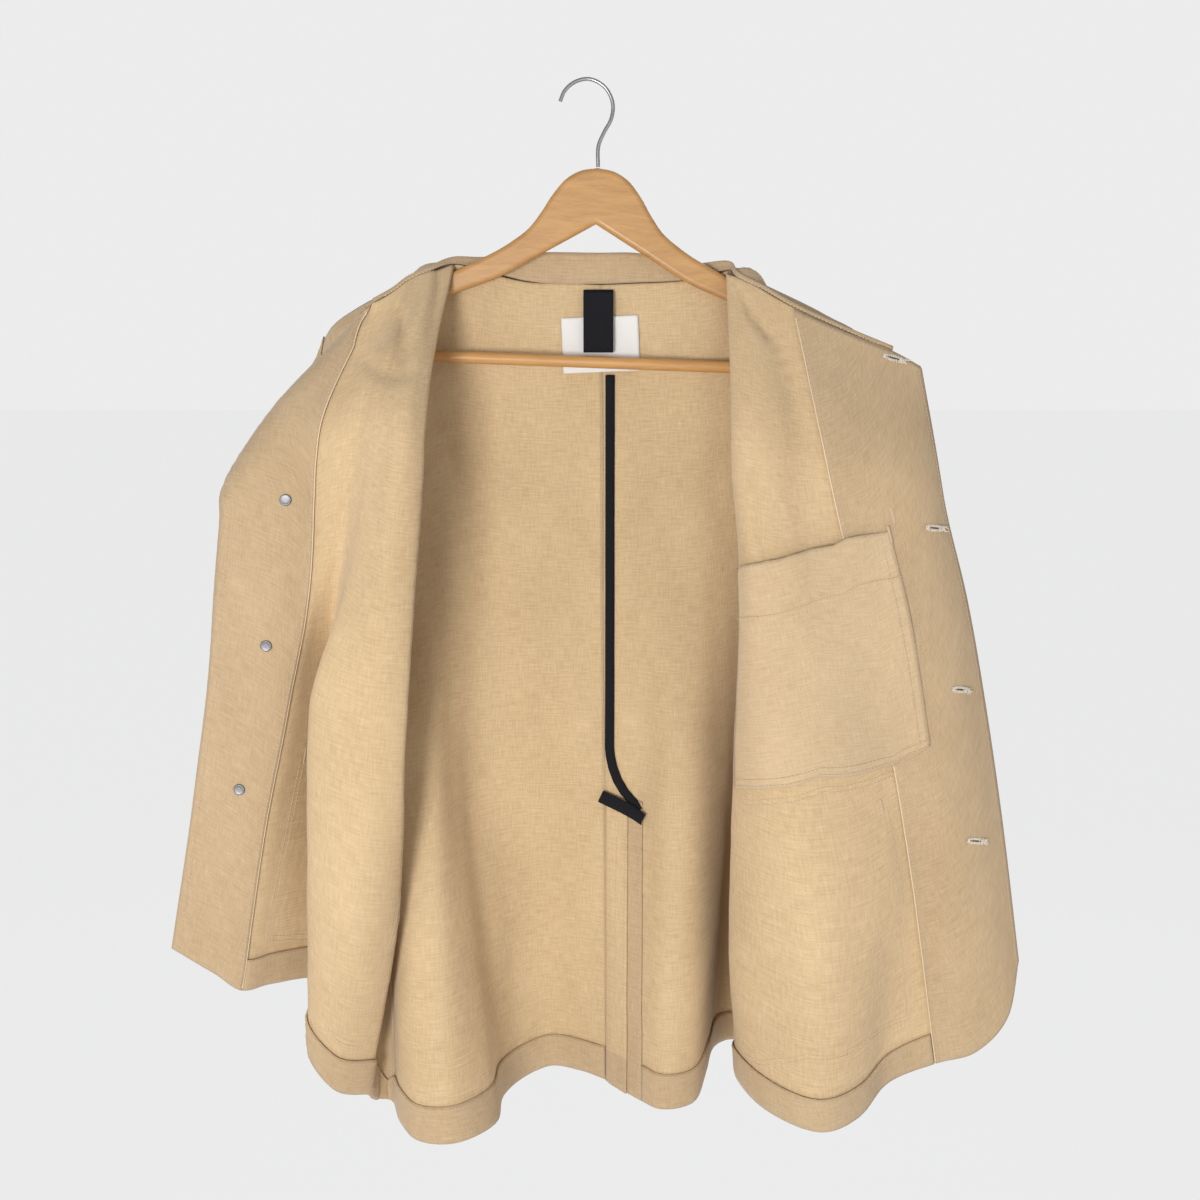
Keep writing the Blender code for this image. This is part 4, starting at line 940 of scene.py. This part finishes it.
def arched(width, edge, middle, steps=9):
    return [(width * t, edge + (middle - edge) * math.cos(math.pi * t))
            for t in np.linspace(-0.5, 0.5, steps)]


def tape_finish(name, light, deep, rib, sheen):
    """Woven tape: fine ribs across its length."""
    material, base, link = finish_of(name, {"Roughness": 0.85, "Sheen Weight": sheen,
                                            "Specular IOR Level": 0.2})
    cut, across, along = base.laid_out()
    ribs = (along * (6283 / rib)).sine() * (across * (6283 / rib)).sine()
    fleck = base.noise(cut, (900, 900, 0))
    link("Base Color", (fleck * 0.7 + ribs * 0.2).blend(deep, light))
    link("Normal", base.bump(ribs + fleck * 0.6, 0.5, 0.0004))
    return material


back_trees = [tree_of(panels["back_right"].grid), tree_of(panels["back_left"].grid)]
black_tape = tape_finish("black_tape", (0.016, 0.017, 0.021), (0.006, 0.006, 0.008), 1.1, 0.0)
binding = [(17, z) for z in np.linspace(-236.5, -556, 90)]
binding += [(17.8, -564), (20, -574), (24, -585), (30, -595), (36.5, -602), (41, -606), (43.5, -610)]
FOLDED = ((3.0, 1.5), (-1.5, 1.5), (-3.2, 1.6), (-3.9, 2.3), (-3.3, 3.1), (-1.5, 3.3), (0, 3.35), (1.8, 3.1),
          (3.4, 2.6))
points, cut = strip(back_trees, binding, FOLDED)
cloth("seam_binding", points, cut, TAPE, (black_tape,))
bar = np.linspace((11, -599), (50, -616.5), 16)
points, cut = strip(back_trees, bar, arched(11, 5.4, 6.4))
cloth("vent_tape", points, cut, TAPE, (black_tape,))
white_label = tape_finish("label_white", (0.93, 0.91, 0.87), (0.84, 0.81, 0.77), 0.6, 0.1)
label = np.linspace((8.5, -188), (10.5, -234), 24)
points, cut = strip(back_trees, label, arched(65, 2.4, 2.4, 28))
cloth("neck_label", points, cut, TAPE, (white_label,))
LOOP_SECTION = ((13.2, -166), (13.2, -190), (13.2, -212), (12.7, -215.6), (11.1, -217.6), (9.5, -215.6),
                (9, -212), (9.2, -190), (10, -168))


def smooth_line(points, count):
    """A smooth line through points, at even places, with how far along those are."""
    points = np.array(points, float)
    knots = reach_of(points)
    places = np.linspace(0, knots[-1], count)
    return curve_at(knots, points, places), places


section, places = smooth_line(LOOP_SECTION, 60)
loop = np.array([[(x, y, z) for y, z in section] for x in np.linspace(-5, 20, 12)])
cloth("hanger_loop", loop, cut_of(np.linspace(0, 25, 12), places), TAPE, (black_tape,))


# ---------------- tack buttons
# Pressed steel: a domed head outside each of four places down the wearer's right front, and
# the small round back of its rivet on the facing.
def turned(node, profile, place, direction):
    """A turned piece: profile rows are (radius, height) from the outer face to the back."""
    sides = 40
    last = (len(profile) - 1) * sides
    points = np.array([(r * math.cos(a), r * math.sin(a), h) for r, h in profile
                       for a in 2 * math.pi * np.arange(sides) / sides])
    faces = [(i + j, i + sides + j, i + sides + (j + 1) % sides, i + (j + 1) % sides)
             for i in range(0, last, sides) for j in range(sides)]
    faces += [tuple(range(sides)), tuple(range(last, last + sides))[::-1]]
    turn = Vector(direction).to_track_quat("Z", "Y").to_matrix().to_4x4()
    settle(mesh_of(node + "_metal", points, faces), (metal,), node,
           Matrix.Translation(Vector(place) * MM) @ turn)


metal, scuff, link = flecked("tack_metal", {"Metallic": 1.0}, (900, 900, 900), 4, (0.10, 0.10, 0.11),
                             (0.30, 0.30, 0.31))
link("Roughness", 0.35 + scuff * 0.25)
RIVET = ((0.3, 1.15), (1.6, 1.15), (2.7, 1.2), (3.5, 1.35), (3.9, 1.45), (4.3, 1.2), (4.6, 0.6), (4.5, 0.1),
         (0.3, 0))
BUTTON = ((0.3, 3.2), (3.0, 3.1), (5.0, 2.9), (6.4, 2.9), (7.2, 3.1), (8.0, 2.6), (8.5, 1.6), (8.5, 0.8),
          (7.6, 0.1), (0.3, 0))
buttoned = panels["front_right"]
column = buttoned.column_of("buttons")
for number, height in enumerate((0.302, 0.528, 0.745, 0.962), 1):
    middle, above = buttoned.at(column, height), buttoned.at(column, height, 1.0)
    inward = unit(above - middle)
    turned(f"rivet_{number}", RIVET, middle + inward * OVER_FACING, inward)
    turned(f"button_{number}", BUTTON, middle - inward * 2.8, -inward)


# ---------------- buttonholes
# Four worked slits down the wearer's left front, overcast with thick pale cotton that has
# begun to fray at the ends. Each open slit is a dark bar of painted shade.
pale_thread, _, _ = flecked("buttonhole_thread", {"Roughness": 0.8, "Sheen Weight": 0.3}, (1800, 1800, 1800),
                            3, (0.46, 0.38, 0.28), (0.80, 0.74, 0.64))
# The slits' near-black colour is painted shade for the shadowed openings of the cuts.
slit, _, _ = flecked("buttonhole_slit_painted_shade", {"Roughness": 1.0, "Specular IOR Level": 0.05}, (1200, 1200, 1200),
                     2.0, (0.05, 0.035, 0.02), (0.16, 0.11, 0.06))
# Each slit runs from one (column, height) place to another.
BUTTONHOLES = ((1.36, 0.984, 0.70, 0.990), (1.34, 0.757, 0.36, 0.748), (1.38, 0.535, 0.50, 0.504),
               (1.46, 0.315, 0.66, 0.272))
HALF_LENGTH, HALF_WIDTH = 9.0, 1.7
work, slit_shadows = [], []
for number, (from_column, from_height, to_column, to_height) in enumerate(BUTTONHOLES):
    centre = (from_column + to_column) / 2, (from_height + to_height) / 2
    for face in (1, -1):
        lift = OVER_FACING + 0.3 if face > 0 else -SKIN - 0.3
        ends = front.at(np.array([from_column, to_column]), np.array([from_height, to_height]), lift)
        middle = front.at(*centre, lift)
        up = front.at(*centre, lift + face) - middle
        run = unit(ends[1] - ends[0])
        across = np.cross(up, run)
        # A dark bar of painted shade along the slit, standing for its shadowed opening.
        slit_shadows.append((middle + up * 0.1, run, up, HALF_LENGTH * 1.8))
        for i in range(70):
            turn = 2 * math.pi * i / 70
            wander = noise.noise((i * 0.9, number * 5.0, face * 3.0))
            cosine, sine = math.cos(turn), math.sin(turn)
            place = run * cosine * (HALF_LENGTH - 0.6) + across * sine * HALF_WIDTH
            spoke = run * cosine * 0.7 + across * math.copysign(1, sine) + run * wander * 0.5
            place = middle + place * (1 + 0.2 * wander) + up * 0.5 * abs(wander)
            work.append((place, spoke, up, 2.6 + wander * 2.6))
        for i in range(16):
            drift = noise.noise((i * 1.7, number * 3.1, 5.0)), noise.noise((i * 2.3, number * 4.7, 9.0))
            place = run * (HALF_LENGTH * (0.75 + drift[0])) + across * drift[1] * 4
            work.append((middle + place + up * 0.9, run * drift[1] + across * (0.4 - drift[0]), up, 4.2))
for name, parts, thick, finish in (("buttonhole_work", work, 0.38, pale_thread),
                                   ("buttonhole_slit_shadows", slit_shadows, 0.5, slit)):
    centres, alongs, ups, lengths = (np.array(column, float) for column in zip(*parts))
    threads(name, centres, alongs, ups, lengths, thick, finish)


# ---------------- hanger
# A flat beech hanger sawn to a wishbone and rounded over, varnished honey brown, with a round
# trouser bar let into its arms and a bent steel wire hook.
def rod(node, points, radius, finish):
    curve = line_curve(node + "_round", [Vector(point) * MM for point in points], radius, 6)
    curve.use_fill_caps = True
    settle(curve, (finish,), node)


def varnished(name, light, deep, stretch, spots=()):
    """Varnished wood with long grain; spots are (x, y, radius, colour) marks on its face."""
    material, base, link = finish_of(name, {"Coat Roughness": 0.25, "Coat Weight": 0.3})
    where = base.node("TexCoord", {}, {}, "Object")
    bent = base.noise(where, (20, 45, 40), 2)
    lines = base.node("VectorMath", {"operation": "ADD"}, {0: where, 1: base.node(
        "CombineXYZ", {}, {"Y": bent * 0.02})})
    grain = base.noise(lines, stretch, 5)
    pores = base.noise(where, tuple(s * 6 for s in stretch), 2)
    colour = (grain * 0.9 + pores * 0.45 - 0.18).blend(deep, light)
    for x, y, radius, mark in spots:
        away = base.node("VectorMath", {"operation": "DISTANCE"}, {0: where, 1: (x, y, -0.005)}, "Value")
        near = base.node("MapRange", {"interpolation_type": "SMOOTHSTEP"},
                         {"Value": away + grain * 0.002, "From Min": radius * 0.5, "From Max": radius,
                          "To Min": 1.0, "To Max": 0.0})
        colour = near.blend(colour, mark)
    link("Base Color", colour)
    link("Roughness", 0.38 + pores * 0.2)
    link("Normal", base.bump(pores, 0.2, 0.0003))
    return material


wood = varnished("hanger_wood", (0.58, 0.32, 0.105), (0.30, 0.135, 0.04), (26, 190, 160),
                 ((-0.050, -0.117, 0.005, (0.22, 0.09, 0.03)), (-0.024, -0.086, 0.0045, (0.72, 0.62, 0.50)),
                  (0.012, -0.100, 0.002, (0.30, 0.14, 0.05))))
dowel = varnished("hanger_dowel", (0.62, 0.34, 0.11), (0.40, 0.18, 0.05), (14, 320, 320))
STEM_X = 9.5
ARM_TOP = ((0, -69), (14, -71.5), (25, -78), (36, -91), (46, -107), (55, -119), (70, -131),
           (110, -153), (160, -178), (198, -197), (210, -206))
ARM_BOTTOM = ((212, -212), (206, -219), (160, -197), (115, -174), (80, -160), (38, -136), (0, -114))
HANGER_THICK = 10.0
HANGER_ROUND = 4.0
HANGER_TILT = math.radians(2.0)          # the right arm hangs lower
BAR_RADIUS = 5.0
BAR_ENDS = (-188, -219, 196, -233)       # x and z of the left and the right end
WIRE_RADIUS = 1.6
HOOK_POINTS = ((-23.5, -16), (-20, -8), (-12, -1), (0, 1.6), (13, -5), (19.5, -19), (18, -30), (12.5, -40),
               (8, -50), (7.3, -68))
half = []
for edge in (ARM_TOP, ARM_BOTTOM):
    line, _ = smooth_line(edge, 60)
    line[:, 0] = np.maximum(line[:, 0], 0)
    half += [tuple(point) for point in line]
half = [point for point, after in zip(half, half[1:] + half[-1:]) if point != after] + [half[-1]]
outline = half + [(-x, z) for x, z in reversed(half) if x > 0.01]
arms = line_curve("hanger_arms", [(x * MM, z * MM, 0) for x, z in outline], HANGER_ROUND, 5)
arms.dimensions = "2D"
arms.fill_mode = "BOTH"
arms.extrude, arms.offset = (HANGER_THICK / 2 - HANGER_ROUND) * MM, -HANGER_ROUND * MM
arms.splines[0].use_cyclic_u = True
settle(arms, (wood,), "hanger_wood",
       Matrix.Translation((STEM_X * MM, 0, 0)) @ Matrix.Rotation(HANGER_TILT, 4, "Y")
       @ Matrix.Rotation(math.radians(90), 4, "X"))
left_x, left_z, right_x, right_z = BAR_ENDS
rod("hanger_bar", [(left_x, 0, left_z), (right_x, 0, right_z)], BAR_RADIUS, dowel)
steel, base, link = finish_of("hook_steel", {"Metallic": 1.0, "Base Color": (0.34, 0.34, 0.34, 1)})
link("Roughness", 0.2 + base.noise(base.node("TexCoord", {}, {}, "Object"), (500, 500, 80), 3) * 0.25)
rod("hanger_hook", smooth_line([(x, 0, z) for x, z in HOOK_POINTS], 90)[0], WIRE_RADIUS, steel)


# ---------------- the studio
# A plain pale floor well below the hanging jacket, pale surroundings, and three large soft lights:
# one in front to the left, a weak one to the right and one behind.
FLOOR = -1.5             # its height in metres
floor_mesh = bpy.data.meshes.new("studio_floor")
floor_mesh.from_pydata([(x, y, FLOOR) for x, y in ((-30, -30), (30, -30), (30, 60), (-30, 60))], [],
                       [(0, 1, 2, 3)])
floor = bpy.data.objects.new("studio_floor", floor_mesh)
bpy.context.scene.collection.objects.link(floor)
pale, base, link = finish_of("pale_floor", {"Base Color": (0.08, 0.08, 0.08, 1), "Roughness": 1.0,
                                            "Specular IOR Level": 0.0, "Emission Color": (1, 1, 1, 1),
                                            "Emission Strength": 0.775})
floor_mesh.materials.append(pale)
world = bpy.data.worlds.new("studio")
world.use_nodes = True
air = Shade(world.node_tree)
seen = air.node("LightPath", {}, {}, "Is Camera Ray")
backdrop = seen.blend((0.50, 0.51, 0.53), (0.84, 0.84, 0.84))
world.node_tree.links.new(backdrop.socket, world.node_tree.nodes["Background"].inputs["Color"])
bpy.context.scene.world = world
bpy.context.scene.view_settings.view_transform = "Standard"
for light_name, place, size, power in (("key", (-0.62, -2.1, -0.5), 0.6, 33),
                                       ("fill", (1.4, -1.7, -0.6), 1.6, 3),
                                       ("behind", (0.2, 1.8, 0.6), 1.6, 12)):
    lamp = bpy.data.lights.new(light_name, "AREA")
    lamp.shape, lamp.size, lamp.energy = "DISK", size, power
    light = bpy.data.objects.new(light_name, lamp)
    light.location = place
    light.rotation_euler = (Vector((0, 0, -0.55)) - Vector(place)).to_track_quat("-Z", "Y").to_euler()
    bpy.context.scene.collection.objects.link(light)
